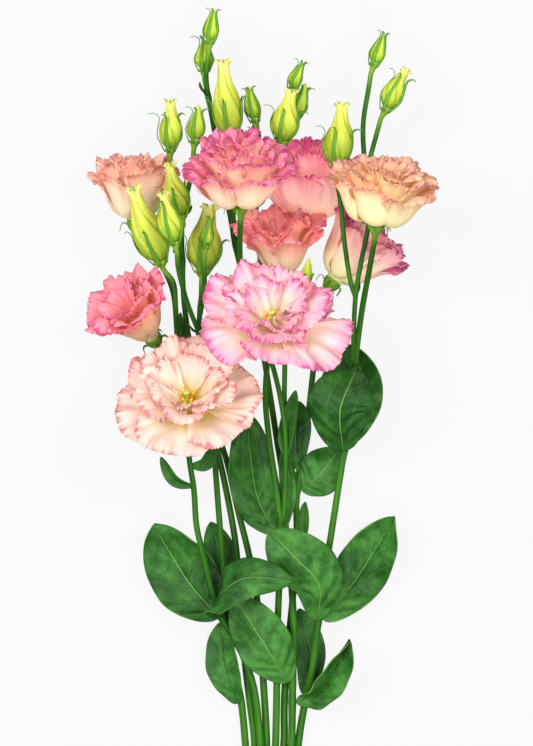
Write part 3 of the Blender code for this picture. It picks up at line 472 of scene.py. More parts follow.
def sheet(name, cells, surface, *finishes):
    """An open sheet whose points lie at surface(u, v), in mm, with u from -1 to 1 and v from 0 to 1."""
    deselect()
    bpy.ops.mesh.primitive_grid_add(x_subdivisions=cells[0], y_subdivisions=cells[1], size=2.0)
    made = bpy.context.object
    made.name = name
    made.data.name = name
    flat = np.empty(len(made.data.vertices) * 3)
    made.data.vertices.foreach_get("co", flat)
    flat = flat.reshape(-1, 3)
    placed = surface(flat[:, 0], 0.5 * (flat[:, 1] + 1))
    placed[:, 2] = np.maximum(placed[:, 2], TABLE_CLEARANCE)
    made.data.vertices.foreach_set("co", (placed * MM).ravel())
    for finish in finishes:
        made.data.materials.append(finish)
    return made


def joined(name, pieces):
    """The pieces as one object."""
    deselect()
    for piece in pieces:
        piece.select_set(True)
    bpy.context.view_layer.objects.active = pieces[0]
    bpy.ops.object.join()
    whole = bpy.context.object
    whole.name = name
    whole.data.name = name
    return whole


def thicken(piece, wall, far_face=0):
    """Gives sheets a wall. far_face is the material slot of the face that looks against their normals."""
    solid = piece.modifiers.new("thickness", "SOLIDIFY")
    solid.thickness = wall * MM
    solid.offset = 0.0
    solid.material_offset = far_face
    bpy.context.view_layer.objects.active = piece
    bpy.ops.object.modifier_apply(modifier=solid.name)
    piece.data.shade_smooth()
    return piece


def close_tubes(piece):
    """Joins the seams of wrapped sheets, caps their ends and turns their faces out."""
    deselect()
    piece.select_set(True)
    bpy.context.view_layer.objects.active = piece
    bpy.ops.object.mode_set(mode="EDIT")
    bpy.ops.mesh.select_all(action="SELECT")
    bpy.ops.mesh.remove_doubles(threshold=1e-7)
    bpy.ops.mesh.fill_holes(sides=0)
    bpy.ops.mesh.select_all(action="SELECT")
    bpy.ops.mesh.normals_make_consistent(inside=False)
    bpy.ops.object.mode_set(mode="OBJECT")
    piece.data.shade_smooth()
    return piece


def tube(name, line, radii, sides, finish, ribs=0.0):
    """A sheet wrapped along a line. Its u runs round it and its v along it."""
    across, above = crossways(line)
    rings = np.linspace(0, 1, len(line))

    def surface(u, v):
        centre = along_line(v, line)
        angle = math.pi * u
        radius = np.interp(v, rings, radii) * (1 + ribs * np.cos(SEPALS * angle))
        spoke = along_line(v, across) * np.cos(angle)[:, None]
        spoke += along_line(v, above) * np.sin(angle)[:, None]
        return centre + spoke * radius[:, None]

    return sheet(name, (sides, len(line) - 1), surface, finish)


def settled(piece, node):
    """Puts a finished piece in the bunch, in place of its solid."""
    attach(piece, "root")
    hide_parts(node)


def colour_of(code):
    """An sRGB hex code as linear RGBA."""
    channels = [int(code[i : i + 2], 16) / 255 for i in (0, 2, 4)]
    linear = [c / 12.92 if c <= 0.04045 else ((c + 0.055) / 1.055) ** 2.4 for c in channels]
    return (*linear, 1.0)


def feed(tree, node, **links):
    """Gives a node's sockets a value or a link. A socket goes by its name, with _ for each space, or by _
    and its number, and a node that is given stands for its first output."""
    for key, value in links.items():
        socket = node.inputs[int(key[1:])] if key[0] == "_" else node.inputs[key.replace("_", " ")]
        if isinstance(value, bpy.types.Node):
            value = value.outputs[0]
        if isinstance(value, bpy.types.NodeSocket):
            tree.links.new(value, socket)
        else:
            socket.default_value = value


def add_node(tree, kind, settings=None, **links):
    """A shader node of a kind, with its settings and links."""
    node = tree.nodes.new("ShaderNode" + kind)
    for key, value in (settings or {}).items():
        setattr(node, key, value)
    feed(tree, node, **links)
    return node


def set_ramp(ramp, stops):
    """Gives a colour ramp its (position, hex) stops."""
    elements = ramp.color_ramp.elements
    while len(elements) < len(stops):
        elements.new(0.5)
    for element, (position, code) in zip(elements, stops):
        element.position = position
        element.color = colour_of(code)


def new_material(name):
    """A material with its node tree and its skin, the shader that is its surface."""
    made = bpy.data.materials.new(name)
    made.use_nodes = True
    tree = made.node_tree
    return made, tree, tree.nodes["Principled BSDF"]


def let_light_through(tree, skin, colour, relief, share):
    """Blends a skin with the light that comes through thin tissue from behind."""
    through = add_node(tree, "BsdfTranslucent", Color=colour, Normal=relief)
    blend = add_node(tree, "MixShader", _0=share, _1=skin, _2=through)
    feed(tree, tree.nodes["Material Output"], _0=blend)


PLANT_IOR = 1.4


def per_metre(size):
    """The scale of a pattern whose grains or clouds are about so many millimetres wide."""
    return 1 / (size * MM)


PETAL_STOPS = (0.0, 0.18, 0.4, 0.68, 0.94, 1.01)
VEINS_ACROSS = 34  # a petal 40 mm wide has a fine vein about every 1.2 mm
# How often each pattern repeats across half a petal and along it. The petal's seed stays as it is.
VEIN_STRETCH = (0.5 * VEINS_ACROSS, 1.4, 1)
BLOTCH_STRETCH = (1.6, 2.6, 1)
PETAL_GLOW = 0.06  # stands in for light that scatters on between the layers of petals
# The same for blooms that others shade, with the light that the white table throws up at them.
SHADED_GLOW = {"bloom_magenta": 0.2, "bloom_mauve": 0.1}


def petal_material(name, colours, glow):
    """Living petal: thin, moist tissue with a velvet skin. Light comes through it, its veins show as fine
    streaks from the throat, and its colour deepens to the fringed rim."""
    made, tree, skin = new_material(name)
    place = add_node(tree, "Attribute", {"attribute_name": "petal"}).outputs["Vector"]
    along = add_node(tree, "SeparateXYZ", _0=place).outputs[1]
    vein_place = add_node(tree, "VectorMath", {"operation": "MULTIPLY"}, _0=place, _1=VEIN_STRETCH)
    veins = add_node(tree, "TexNoise", Vector=vein_place, Scale=1.0, Detail=4.0, Roughness=0.62)
    blotch_place = add_node(tree, "VectorMath", {"operation": "MULTIPLY"}, _0=place, _1=BLOTCH_STRETCH)
    blotch = add_node(tree, "TexNoise", Vector=blotch_place, Scale=1.0, Detail=2.0)
    vein_shift = add_node(
        tree, "MapRange", Value=veins, From_Min=0.3, From_Max=0.7, To_Min=-0.10, To_Max=0.10
    )
    blotch_shift = add_node(
        tree, "MapRange", Value=blotch, From_Min=0.3, From_Max=0.7, To_Min=-0.12, To_Max=0.06
    )
    shift = add_node(tree, "Math", {"operation": "ADD"}, _0=vein_shift, _1=blotch_shift)
    spot = add_node(tree, "Math", {"operation": "MULTIPLY_ADD"}, _0=shift, _1=along, _2=along)
    ramp = add_node(tree, "ValToRGB", Fac=spot)
    set_ramp(ramp, list(zip(PETAL_STOPS, colours)))
    streak = add_node(
        tree, "MapRange", Value=veins, From_Min=0.35, From_Max=0.7, To_Min=1.04, To_Max=0.94
    )
    tint = add_node(tree, "HueSaturation", Value=streak, Color=ramp)
    relief = add_node(tree, "Bump", Height=veins, Strength=0.4, Distance=0.0005)
    # Painted glow: the petals give off a faint light of their own colour, in place of light that scatters
    # between them.
    feed(
        tree, skin, Base_Color=tint, Normal=relief, Roughness=0.55, IOR=PLANT_IOR,
        Specular_IOR_Level=0.35, Sheen_Weight=0.15, Sheen_Roughness=0.4,
        Emission_Color=tint, Emission_Strength=glow,
    )
    let_light_through(tree, skin, tint, relief, share=0.42)
    return made


SIDE_VEIN = 0.2  # how far from the midrib, as a share of the blade's width, a second main vein runs
LATERALS = 6.0  # side veins along a leaf
LATERAL_SLANT = -2.6  # steps between side veins that each one moves on by, over the blade's width
LATERAL_SWING = 0.5
LEAF_MOTTLE = 7.69  # mm from one fleck of green to the next
LEAF_CLOUD = 35.7  # mm from one soft cloud of green to the next


def leaf_lines(tree, apart, cloud):
    """How strongly a leaf's veins and margin show at a place on its blade. The side veins swing with its
    cloudy greens."""
    from_middle = add_node(tree, "Math", {"operation": "SUBTRACT"}, _0=apart, _1=0.5)
    off = add_node(tree, "Math", {"operation": "ABSOLUTE"}, _0=from_middle)
    beside = add_node(tree, "Math", {"operation": "SUBTRACT"}, _0=off, _1=SIDE_VEIN)
    beside_off = add_node(tree, "Math", {"operation": "ABSOLUTE"}, _0=beside)
    climb = add_node(tree, "Math", {"operation": "MULTIPLY"}, _0=apart.outputs[1], _1=LATERALS)
    slant = add_node(tree, "Math", {"operation": "MULTIPLY_ADD"}, _0=off, _1=LATERAL_SLANT, _2=climb)
    swing = add_node(
        tree, "Math", {"operation": "MULTIPLY_ADD"}, _0=cloud, _1=LATERAL_SWING, _2=slant
    )
    lateral_off = add_node(tree, "Math", {"operation": "PINGPONG"}, _0=swing, _1=0.5)
    lines = None
    # The midrib, the second main veins, the margin and the side veins: the distance from each, and how its
    # strength changes between two distances.
    for distance, here, there, strength_here, strength_there in (
        (off, 0.003, 0.014, 0.8, 0.0),
        (beside_off, 0.001, 0.01, 0.14, 0.0),
        (off, 0.484, 0.499, 0.0, 0.35),
        (lateral_off, 0.0, 0.06, 0.09, 0.0),
    ):
        line = add_node(
            tree, "MapRange", {"interpolation_type": "SMOOTHSTEP"}, Value=distance,
            From_Min=here, From_Max=there, To_Min=strength_here, To_Max=strength_there,
        )
        if lines is None:
            lines = line
        else:
            lines = add_node(tree, "Math", {"operation": "MAXIMUM"}, _0=lines, _1=line)
    return lines


def leaf_material(name, dark, mid, light, vein):
    """Lisianthus leaf: a thick, smooth blade with a soft wax shine and cloudy greens, three paler main
    veins from root to tip, faint side veins that slant off them, and a thin light margin."""
    made, tree, skin = new_material(name)
    place = add_node(tree, "UVMap", {"uv_map": "UVMap"})
    apart = add_node(tree, "SeparateXYZ", _0=place)
    body = add_node(tree, "TexCoord").outputs["Object"]
    mottle = add_node(
        tree, "TexNoise", Vector=body, Scale=per_metre(LEAF_MOTTLE), Detail=6.0, Roughness=0.65
    )
    cloud = add_node(tree, "TexNoise", Vector=body, Scale=per_metre(LEAF_CLOUD), Detail=2.0)
    tone = add_node(tree, "Math", {"operation": "ADD"}, _0=mottle, _1=cloud)
    half_tone = add_node(tree, "Math", {"operation": "MULTIPLY"}, _0=tone, _1=0.5)
    ramp = add_node(tree, "ValToRGB", Fac=half_tone)
    set_ramp(ramp, [(0.38, dark), (0.5, mid), (0.62, light)])
    lines = leaf_lines(tree, apart, cloud)
    mix = add_node(tree, "Mix", {"data_type": "RGBA"}, _0=lines, _6=ramp, _7=colour_of(vein))
    height = add_node(tree, "Math", {"operation": "SUBTRACT"}, _0=mottle, _1=lines)
    relief = add_node(tree, "Bump", Height=height, Strength=0.7, Distance=0.0011)
    feed(
        tree, skin, Base_Color=mix.outputs[2], Normal=relief, Roughness=0.44, IOR=PLANT_IOR,
        Specular_IOR_Level=0.25,
    )
    return made


STREAK_STRETCH = (14, 7, 1)  # round a stem its streaks are about 1 mm apart
STEM_CLOUD = 45.45  # mm


def stem_material(name, dark, light, young):
    """Cut lisianthus stem: smooth, firm and waxed, with paler streaks that run along it, and a yellower
    green under each flower."""
    made, tree, skin = new_material(name)
    place = add_node(tree, "UVMap", {"uv_map": "UVMap"})
    streak_place = add_node(tree, "VectorMath", {"operation": "MULTIPLY"}, _0=place, _1=STREAK_STRETCH)
    streaks = add_node(tree, "TexNoise", Vector=streak_place, Scale=1.0, Detail=3.0)
    body = add_node(tree, "TexCoord").outputs["Object"]
    cloud = add_node(tree, "TexNoise", Vector=body, Scale=per_metre(STEM_CLOUD), Detail=3.0)
    tone = add_node(tree, "Math", {"operation": "ADD"}, _0=streaks, _1=cloud)
    half_tone = add_node(tree, "Math", {"operation": "MULTIPLY"}, _0=tone, _1=0.5)
    ramp = add_node(tree, "ValToRGB", Fac=half_tone)
    set_ramp(ramp, [(0.36, dark), (0.64, light)])
    near_flower = add_node(tree, "Attribute", {"attribute_name": "young"}).outputs["Fac"]
    young_share = add_node(tree, "Math", {"operation": "MULTIPLY"}, _0=near_flower, _1=0.75)
    mix = add_node(tree, "Mix", {"data_type": "RGBA"}, _0=young_share, _6=ramp, _7=colour_of(young))
    relief = add_node(tree, "Bump", Height=streaks, Strength=0.3, Distance=0.0003)
    feed(
        tree, skin, Base_Color=mix.outputs[2], Normal=relief, Roughness=0.38, IOR=PLANT_IOR,
        Specular_IOR_Level=0.18,
    )
    return made


BUD_STOPS = (0.0, 0.2, 0.5, 0.8, 1.0)
BUD_VEIN_STRETCH = (16, 2, 1)


def bud_material(name, colours):
    """Closed bud: petals rolled tight, satin and waxy, greener at the calyx, with painted shade darkening
    the skin just under each petal's overlapping edge.
    """
    made, tree, skin = new_material(name)
    place = add_node(tree, "UVMap", {"uv_map": "UVMap"})
    along = add_node(tree, "SeparateXYZ", _0=place).outputs[1]
    vein_place = add_node(
        tree, "VectorMath", {"operation": "MULTIPLY"}, _0=place, _1=BUD_VEIN_STRETCH
    )
    veins = add_node(tree, "TexNoise", Vector=vein_place, Scale=1.0, Detail=3.0)
    vein_shift = add_node(
        tree, "MapRange", Value=veins, From_Min=0.3, From_Max=0.7, To_Min=-0.12, To_Max=0.12
    )
    spot = add_node(tree, "Math", {"operation": "ADD"}, _0=vein_shift, _1=along)
    ramp = add_node(tree, "ValToRGB", Fac=spot)
    set_ramp(ramp, list(zip(BUD_STOPS, colours)))
    # Painted shade: the skin is darkened just under each petal's overlapping edge, in place of the shadow
    # that the edge casts.
    fold = add_node(tree, "Attribute", {"attribute_name": "fold"}).outputs["Fac"]
    shade = add_node(tree, "MapRange", Value=fold, From_Min=0.0, From_Max=1.0, To_Min=1.02, To_Max=0.62)
    tint = add_node(tree, "HueSaturation", Value=shade, Color=ramp)
    relief = add_node(tree, "Bump", Height=veins, Strength=0.3, Distance=0.0003)
    # Painted glow: a fainter light of the bud's own colour, in place of light that scatters through its
    # petals.
    feed(
        tree, skin, Base_Color=tint, Normal=relief, Roughness=0.45, IOR=PLANT_IOR,
        Specular_IOR_Level=0.4, Emission_Color=tint, Emission_Strength=0.5 * PETAL_GLOW,
    )
    let_light_through(tree, skin, tint, relief, share=0.2)
    return made


def grain_material(name, dark, light, grain_size, roughness):
    """A fine-grained matt surface in two tones, such as pollen or rubber."""
    made, tree, skin = new_material(name)
    body = add_node(tree, "TexCoord").outputs["Object"]
    grain = add_node(tree, "TexNoise", Vector=body, Scale=per_metre(grain_size), Detail=4.0)
    ramp = add_node(tree, "ValToRGB", Fac=grain)
    set_ramp(ramp, [(0.35, dark), (0.65, light)])
    relief = add_node(tree, "Bump", Height=grain, Strength=0.5, Distance=0.0003)
    feed(tree, skin, Base_Color=ramp, Normal=relief, Roughness=roughness)
    return made


# Grain sizes in mm. The real grains would be too fine to show, so they are drawn this coarse.
POLLEN_GRAIN = 0.667
STIGMA_GRAIN = 1.111
RUBBER_GRAIN = 1.111

LEAF_FINISH = leaf_material("waxed_leaf", "143c10", "24581a", "407a30", "84b458")
STEM_FINISH = stem_material("waxed_stem", "123a06", "38741a", "86ac34")
SEPAL_FINISH = stem_material("waxed_sepal", "3f7d1a", "6fa534", "86ac34")
RIPE_FINISH = bud_material("ripe_bud_petal", ("7aa428", "aec43a", "ccd64c", "dade62", "ecec90"))
YOUNG_FINISH = bud_material("young_bud_petal", ("7ea828", "a6c030", "bed042", "ccda54", "d8e26e"))
# Anthers are dusty and matt, a stigma is moist and shines softly, and cut rubber is dull.
POLLEN_FINISH = grain_material("pollen_anther", "e0a400", "ffd21e", POLLEN_GRAIN, roughness=0.8)
STIGMA_FINISH = grain_material("moist_stigma", "a9b83c", "d6d860", STIGMA_GRAIN, roughness=0.4)
RUBBER_FINISH = grain_material("natural_rubber", "a8824e", "c9a36a", RUBBER_GRAIN, roughness=0.7)


def flower_frame(facing):
    """Rows are the bloom's own x, y and axis directions."""
    axis = unit(facing)
    x_dir = unit(np.array((1.0, 0.0, 0.0)) - axis * axis[0])
    return np.array([x_dir, np.cross(axis, x_dir), axis])


PROFILE_STEPS = 28
# Stations along a petal's middle line, as shares of its length. They go past its rim, where its fringe is.
STATIONS = np.linspace(0, 1.1, PROFILE_STEPS + 1)
NEAR_RIM = -6  # the station whose distance from the axis sets a petal's width


def crowded(v):
    """How far along a petal a row of its cells lies."""
    return 1 - np.maximum(1 - v, 0.0) ** ROW_CROWDING


def petal_lean(bloom, whorl, key, further_out, u, angle):
    """How far each column of a petal leans out from the bloom's axis at each station, in radians."""
    stray = chance(*key, "lean")
    root = whorl.lean[0] + ROOT_STRAY * chance(*key, "root")
    middle = whorl.lean[1] + 0.6 * LEAN_STRAY * stray + further_out
    rim = whorl.lean[2] + LEAN_STRAY * stray + further_out
    lean = root * (1 - STATIONS) * (1 - 2 * STATIONS)
    lean += 4 * middle * STATIONS * (1 - STATIONS)
    lean += rim * STATIONS * (2 * STATIONS - 1)
    heavy = bloom.droop * np.cos(angle - math.radians(bloom.heavy_side))
    heavy += LEAN_TWIST * u * chance(*key, "twist")
    curl = whorl.curl * (1 + 0.5 * np.sin(3 * u + 3 * chance(*key, "curl")))
    lean = lean[None, :] + heavy[:, None] * STATIONS[None, :]
    lean += curl[:, None] * rising(STATIONS, CURL_ZONE)[None, :]
    return np.radians(lean)


def petal_profile(lean, length, along):
    """Each point's distance from the bloom's axis, its height and its lean, and how far out the rim is."""
    step = length * STATIONS[1]
    start = np.zeros((len(along), 1))
    radii = ROOT_RADIUS + np.hstack([start, np.cumsum(np.sin(lean[:, :-1]) * step, axis=1)])
    heights = np.hstack([start, np.cumsum(np.cos(lean[:, :-1]) * step, axis=1)])
    spot = np.clip(along / STATIONS[1], 0, PROFILE_STEPS - 1e-6)
    low = spot.astype(int)
    part = spot - low
    column = np.arange(len(along))

    def at(table):
        return table[column, low] * (1 - part) + table[column, low + 1] * part

    return at(radii), at(heights), at(lean), float(radii.mean(axis=0)[NEAR_RIM])


def petal_lift(whorl, key, u, v, along, angle, rim_place):
    """How far the overlap, belly, waves and frill lift each point off its petal's plain sheet, in mm."""
    # The frill's folds drift and change in depth along the rim, so that no two are alike.
    phase = 3 * chance(*key, "frill")
    drift = 2.0 * np.sin(0.47 * rim_place + 2 * phase)
    folds = np.sin(2 * math.pi * rim_place / FRILL_LENGTH + phase + drift)
    strength = 0.9 + 0.4 * np.sin(0.32 * rim_place + 5 * phase)
    strength += 0.35 * np.sin(0.83 * rim_place + 3 * phase)
    side_margin = rising(np.abs(u), SIDE_EDGE_ZONE) * rising(v, SIDE_FRILL_ZONE)
    margin = np.maximum(rising(v, FRILL_ZONE), side_margin)
    billow = np.sin(2 * math.pi * rim_place / BILLOW_LENGTH + 7 * chance(*key, "billow") + 1.5 * v)
    wave = np.sin(WAVES_ROUND * angle + 3 * chance(*key[:2], "wave") + 0.8 * np.sin(3 * angle))
    lift = OVERLAP_LIFT * u * rising(along, OVERLAP_ZONE)
    lift -= BELLY * u**2 * np.sin(math.pi * np.clip(v / BELLY_TOP, 0, 1))
    lift += whorl.wave * rising(v, WAVE_ZONE) * wave
    lift += 0.55 * whorl.wave * rising(v, BILLOW_ZONE) * billow
    lift += EDGE_ROLL * chance(*key, "roll") * np.abs(u) ** 3 * rising(v, ROLL_ZONE)
    lift += 0.85 * whorl.frill * margin**1.5 * folds * strength
    return lift


def petal_share(bloom, whorl, key, length, u, v):
    """How far along its petal each point lies, in a rounded outline with teeth at its rim."""
    columns = np.linspace(-1, 1, whorl.cells[0] + 1)
    signs = np.where(np.arange(len(columns)) % 2, 1, -1)
    teeth = np.array([abs(chance(*key, "tooth", i)) for i in range(len(columns))]) * signs
    rounding = RIM_ROUNDING if bloom.name in OUTER_PETALS else SQUARE_RIM_ROUNDING
    outline = 1 - rounding * np.abs(u) ** 2.6 + 0.03 * np.sin(5 * u + 3 * chance(*key, "outline"))
    return v * outline + FRINGE_DEPTH / length * np.interp(u, columns, teeth) * v**14


def petal_points(bloom, level, whorl, number, u, v):
    """A petal's middle sheet, in mm: it bulges low down, leans out along its length, overlaps its
    neighbours, and is frilled and toothed at its rim."""
    key = (bloom.name, level, number)
    if whorl.arc is None:
        centre = 2 * math.pi * (number + 0.5 * level) / whorl.count + math.radians(bloom.turn)
    else:
        centre = math.radians(whorl.arc[0] + whorl.arc[1] * ((number + 0.5) / whorl.count - 0.5))
    centre += PETAL_STRAY * chance(*key, "turn")
    longer, further_out = 1.0, 0.0
    if level == 0 and bloom.name in OUTER_PETALS:
        longer, further_out = OUTER_PETALS[bloom.name][number]
    length = whorl.length * bloom.size * longer * (1 + LENGTH_STRAY * chance(*key, "length"))
    half = math.radians(whorl.half_angle)
    v = crowded(v)
    along = petal_share(bloom, whorl, key, length, u, v)
    angle = centre + u * half * (CLAW + (1 - CLAW) * rising(along, CLAW_ZONE))
    lean = petal_lean(bloom, whorl, key, further_out, u, angle)
    r, h, tilt, reach = petal_profile(lean, length, along)
    rim_place = u * half * reach + np.sign(u) * (1 - v) * length * rising(np.abs(u), CORNER_ZONE)
    lift = petal_lift(whorl, key, u, v, along, angle, rim_place)
    r = r + np.cos(tilt) * lift
    h = h - np.sin(tilt) * lift + ROOT_HEIGHT + ROOT_STEP * level
    local = np.stack([r * np.cos(angle), r * np.sin(angle), h], axis=1)
    return np.array(bloom.base, float) + local @ flower_frame(bloom.facing)


def mark_petal(petal, seed):
    """Keeps each point's place across and along its petal, and the petal's seed, for its material."""
    count = len(petal.data.vertices)
    corners = np.empty(len(petal.data.loops), int)
    petal.data.loops.foreach_get("vertex_index", corners)
    spots = np.empty(2 * len(corners))
    petal.data.uv_layers[0].data.foreach_get("uv", spots)
    marks = np.full((count, 3), seed)
    marks[corners, 0] = 2 * spots[0::2] - 1
    marks[corners, 1] = crowded(spots[1::2])
    attribute = petal.data.attributes.new("petal", "FLOAT_VECTOR", "POINT")
    attribute.data.foreach_set("vector", marks.ravel())


# The closed root of a bloom's petals: heights above the calyx, and radii.
PETAL_ROOT = [(GAP, 4.2), (1.2, 4.7), (4.0, 4.9), (6.5, 4.2), (7.5, 2.0)]
PETAL_ROOT_SIDES = 24
SEED_STEP = 7.3  # sets the patterns of one petal apart from the next one's


def make_bloom(bloom):
    """All petals of one bloom on their closed root."""
    glow = SHADED_GLOW.get(bloom.name, PETAL_GLOW)
    outer = petal_material(bloom.name.replace("bloom", "petal_outside"), bloom.outer, glow)
    inner = petal_material(bloom.name.replace("bloom", "petal_inside"), bloom.inner, glow)
    petals = []
    for level, whorl in enumerate(HABITS[bloom.habit]):
        for number in range(whorl.count):
            petal = sheet(
                "petal", whorl.cells,
                lambda u, v: petal_points(bloom, level, whorl, number, u, v),
                outer, inner,
            )
            mark_petal(petal, SEED_STEP * len(petals))
            petals.append(petal)
    whole = thicken(joined(bloom.name + "_petals", petals), PETAL_WALL, far_face=1)
    axis = unit(bloom.facing)
    line = np.array([np.array(bloom.base) + axis * height for height, _ in PETAL_ROOT])
    radii = [radius for _, radius in PETAL_ROOT]
    root = close_tubes(tube("root", line, radii, PETAL_ROOT_SIDES, outer))
    settled(joined(whole.name, [whole, root]), bloom.name)


CORE_HEIGHT = 6.0  # how high above the calyx the ovary stands
# The ovary, style and stigma: heights, and radii.
STYLE_LINE = [
    (0.0, 1.9), (1.5, 2.3), (3.5, 2.1), (5.2, 1.1), (7.0, 0.7), (10.0, 0.7), (10.8, 1.3), (11.5, 1.7),
    (11.9, 1.0),
]
STYLE_SIDES = 20
STAMENS = 5
STAMEN_SPREAD = 3.4
STAMEN_HEIGHT = 7.5
THREAD_RADIUS = 0.32
THREAD_SIDES = 8
ANTHER_LENGTH = 2.6
ANTHER_RADII = (0.25, 0.6, 0.8, 0.88, 0.9, 0.86, 0.75, 0.5, 0.2)
ANTHER_SIDES = 10


def make_pistil(bloom):
    """The ovary, style and stigma in a bloom's throat, with the stamens round them."""
    axes = flower_frame(bloom.facing)
    foot = np.array(bloom.base) + axes[2] * (CORE_HEIGHT + GAP)

    def at(r, angle, height):
        return foot + np.array((r * math.cos(angle), r * math.sin(angle), height)) @ axes

    name = bloom.name.replace("bloom", "pistil")
    line = np.array([at(0, 0, height) for height, _ in STYLE_LINE])
    radii = [radius for _, radius in STYLE_LINE]
    tubes = [tube("style", line, radii, STYLE_SIDES, STIGMA_FINISH)]
    for number in range(STAMENS):
        angle = 2 * math.pi * number / STAMENS + 0.4
        top = STAMEN_HEIGHT + 0.8 * chance(bloom.name, "stamen", number)
        end = at(STAMEN_SPREAD, angle, top)
        thread = smooth_path([at(1.0, angle, 0.8), at(2.6, angle, 0.5 * top), end], per_span=6)
        radii = np.full(len(thread), THREAD_RADIUS)
        tubes.append(tube("thread", thread, radii, THREAD_SIDES, STIGMA_FINISH))
        low = at(STAMEN_SPREAD, angle, top - 0.4)
        high = at(STAMEN_SPREAD + 0.3, angle, top + ANTHER_LENGTH)
        anther = smooth_path([low, high], per_span=len(ANTHER_RADII) - 1)
        tubes.append(tube("anther", anther, ANTHER_RADII, ANTHER_SIDES, POLLEN_FINISH))
    settled(close_tubes(joined(name, tubes)), name)


def bud_radius(bud, share):
    """The bud's greatest radius at a share of its length."""
    profile = RIPE_PROFILE if bud.ripe else YOUNG_PROFILE
    heights, radii = zip(*profile)
    return 0.5 * bud.width * (1 + BUD_LOBE) * float(np.interp(share, heights, radii))


RIPE_CELLS = (60, 44)
YOUNG_CELLS = (40, 24)
BUD_RIM = 0.97  # share of a bud's rows of cells that make its skin; the others close its mouth
MOUTH_ZONE = (BUD_RIM, 1.0)
BUD_FRILL_ZONE = (0.86, BUD_RIM)
RIPE_MOUTH = 2.2  # how far a ripe bud's mouth dips
YOUNG_TIP = 0.4  # how far a young bud's tip stands out
EDGE_SHARE = 0.12  # share of a petal's turn over which its edge steps down to the next
SHADE_SHARE = 0.16  # share of the next petal's turn over which the edge's shade is painted darker


def bud_twist(bud):
    """How far a bud's petals turn round it from root to tip, in radians."""
    return math.radians(BUD_TWIST) * (1.0 if bud.ripe else 0.5)


def petal_roll(bud, angle, v):
    """0 just past the edge of a petal that lies over the next one, 1 just before the next edge."""
    return ((angle + bud_twist(bud) * v) * SEPALS / (2 * math.pi)) % 1.0


def bud_points(bud, u, v):
    """A bud's skin, in mm: petals rolled round its axis, dented, frilled at the tip where it is ripe, with
    a closed mouth."""
    base, tip = np.array(bud.base, float), np.array(bud.tip, float)
    axis = unit(tip - base)
    base = base + axis * GAP
    length = float(np.linalg.norm(tip - base))
    profile = RIPE_PROFILE if bud.ripe else YOUNG_PROFILE
    smooth = smooth_path([(height, radius, 0) for height, radius in profile], per_span=8)
    turn = math.pi * chance(bud.name, "turn")
    angle = math.pi * u + turn
    rise = np.minimum(v / BUD_RIM, 1.0)
    height = rise * length
    radius = 0.5 * bud.width * np.interp(rise, smooth[:, 0], smooth[:, 1])
    saw = petal_roll(bud, math.pi * u, v)
    step = BUD_LOBE * (1.6 * saw - 0.8) * ease((1 - saw) / EDGE_SHARE) - 0.02
    radius = radius * (1 + ease(rise * 4) * step)
    if bud.ripe:
        frill = rising(v, BUD_FRILL_ZONE)
        radius = radius * (1 + frill * 0.22 * np.sin(SEPALS * (angle + bud_twist(bud) * v)))
        radius = radius * (1 + frill * 0.12 * np.sin(13 * angle + 2 * turn))
        height = height + frill * (0.9 * np.sin(7 * angle + turn) + 0.6 * np.sin(17 * angle) - 0.9)
    closing = rising(v, MOUTH_ZONE)
    radius = radius * (1 - closing)
    height = height - closing * (RIPE_MOUTH if bud.ripe else -YOUNG_TIP)
    pucker = np.sin(5 * angle + 9 * v + turn) * np.sin(11 * v + 2 * angle + 2 * turn)
    belly = np.sin(math.pi * np.clip(rise, 0, 1))
    radius = radius * (1 + PUCKER * pucker * belly)
    bow = BUD_BOW * length * chance(bud.name, "bow")
    local = np.stack([radius * np.cos(angle) + bow * belly, radius * np.sin(angle), height], axis=1)
    return base + local @ flower_frame(axis)


def mark_folds(made, bud):
    """Keeps how near each point lies to the fold under a petal's edge, for the painted shade that the
    bud's material lays there.
    """
    spots = np.empty(len(made.data.loops) * 2)
    made.data.uv_layers[0].data.foreach_get("uv", spots)
    spots = spots.reshape(-1, 2)
    corners = np.empty(len(made.data.loops), int)
    made.data.loops.foreach_get("vertex_index", corners)
    values = np.zeros(len(made.data.vertices), np.float32)
    saw = petal_roll(bud, math.pi * (2 * spots[:, 0] - 1), spots[:, 1])
    values[corners] = ease((SHADE_SHARE - saw) / SHADE_SHARE) * ease(spots[:, 1] * 6)
    shade = made.data.attributes.new("fold", "FLOAT", "POINT")
    shade.data.foreach_set("value", values)


def make_bud(bud):
    """A bud of petals rolled tight, each edge lying over the next."""
    finish = RIPE_FINISH if bud.ripe else YOUNG_FINISH
    cells = RIPE_CELLS if bud.ripe else YOUNG_CELLS
    made = sheet(bud.name + "_petals", cells, lambda u, v: bud_points(bud, u, v), finish)
    mark_folds(made, bud)
    settled(close_tubes(made), bud.name)


def flower_of(name):
    """(base, axis, bud or None) of the flower that a stalk ends under."""
    for bloom in BLOOMS:
        if bloom.name == name:
            return np.array(bloom.base, float), unit(bloom.facing), None
    bud = next(bud for bud in BUDS if bud.name == name)
    base, tip = np.array(bud.base, float), np.array(bud.tip, float)
    return base, unit(tip - base), bud


SEPAL_CELLS = (4, 16)
SEPAL_WIDTH = 1.95
SEPAL_KEEL = 0.35
SEPAL_SWAY = 1.2


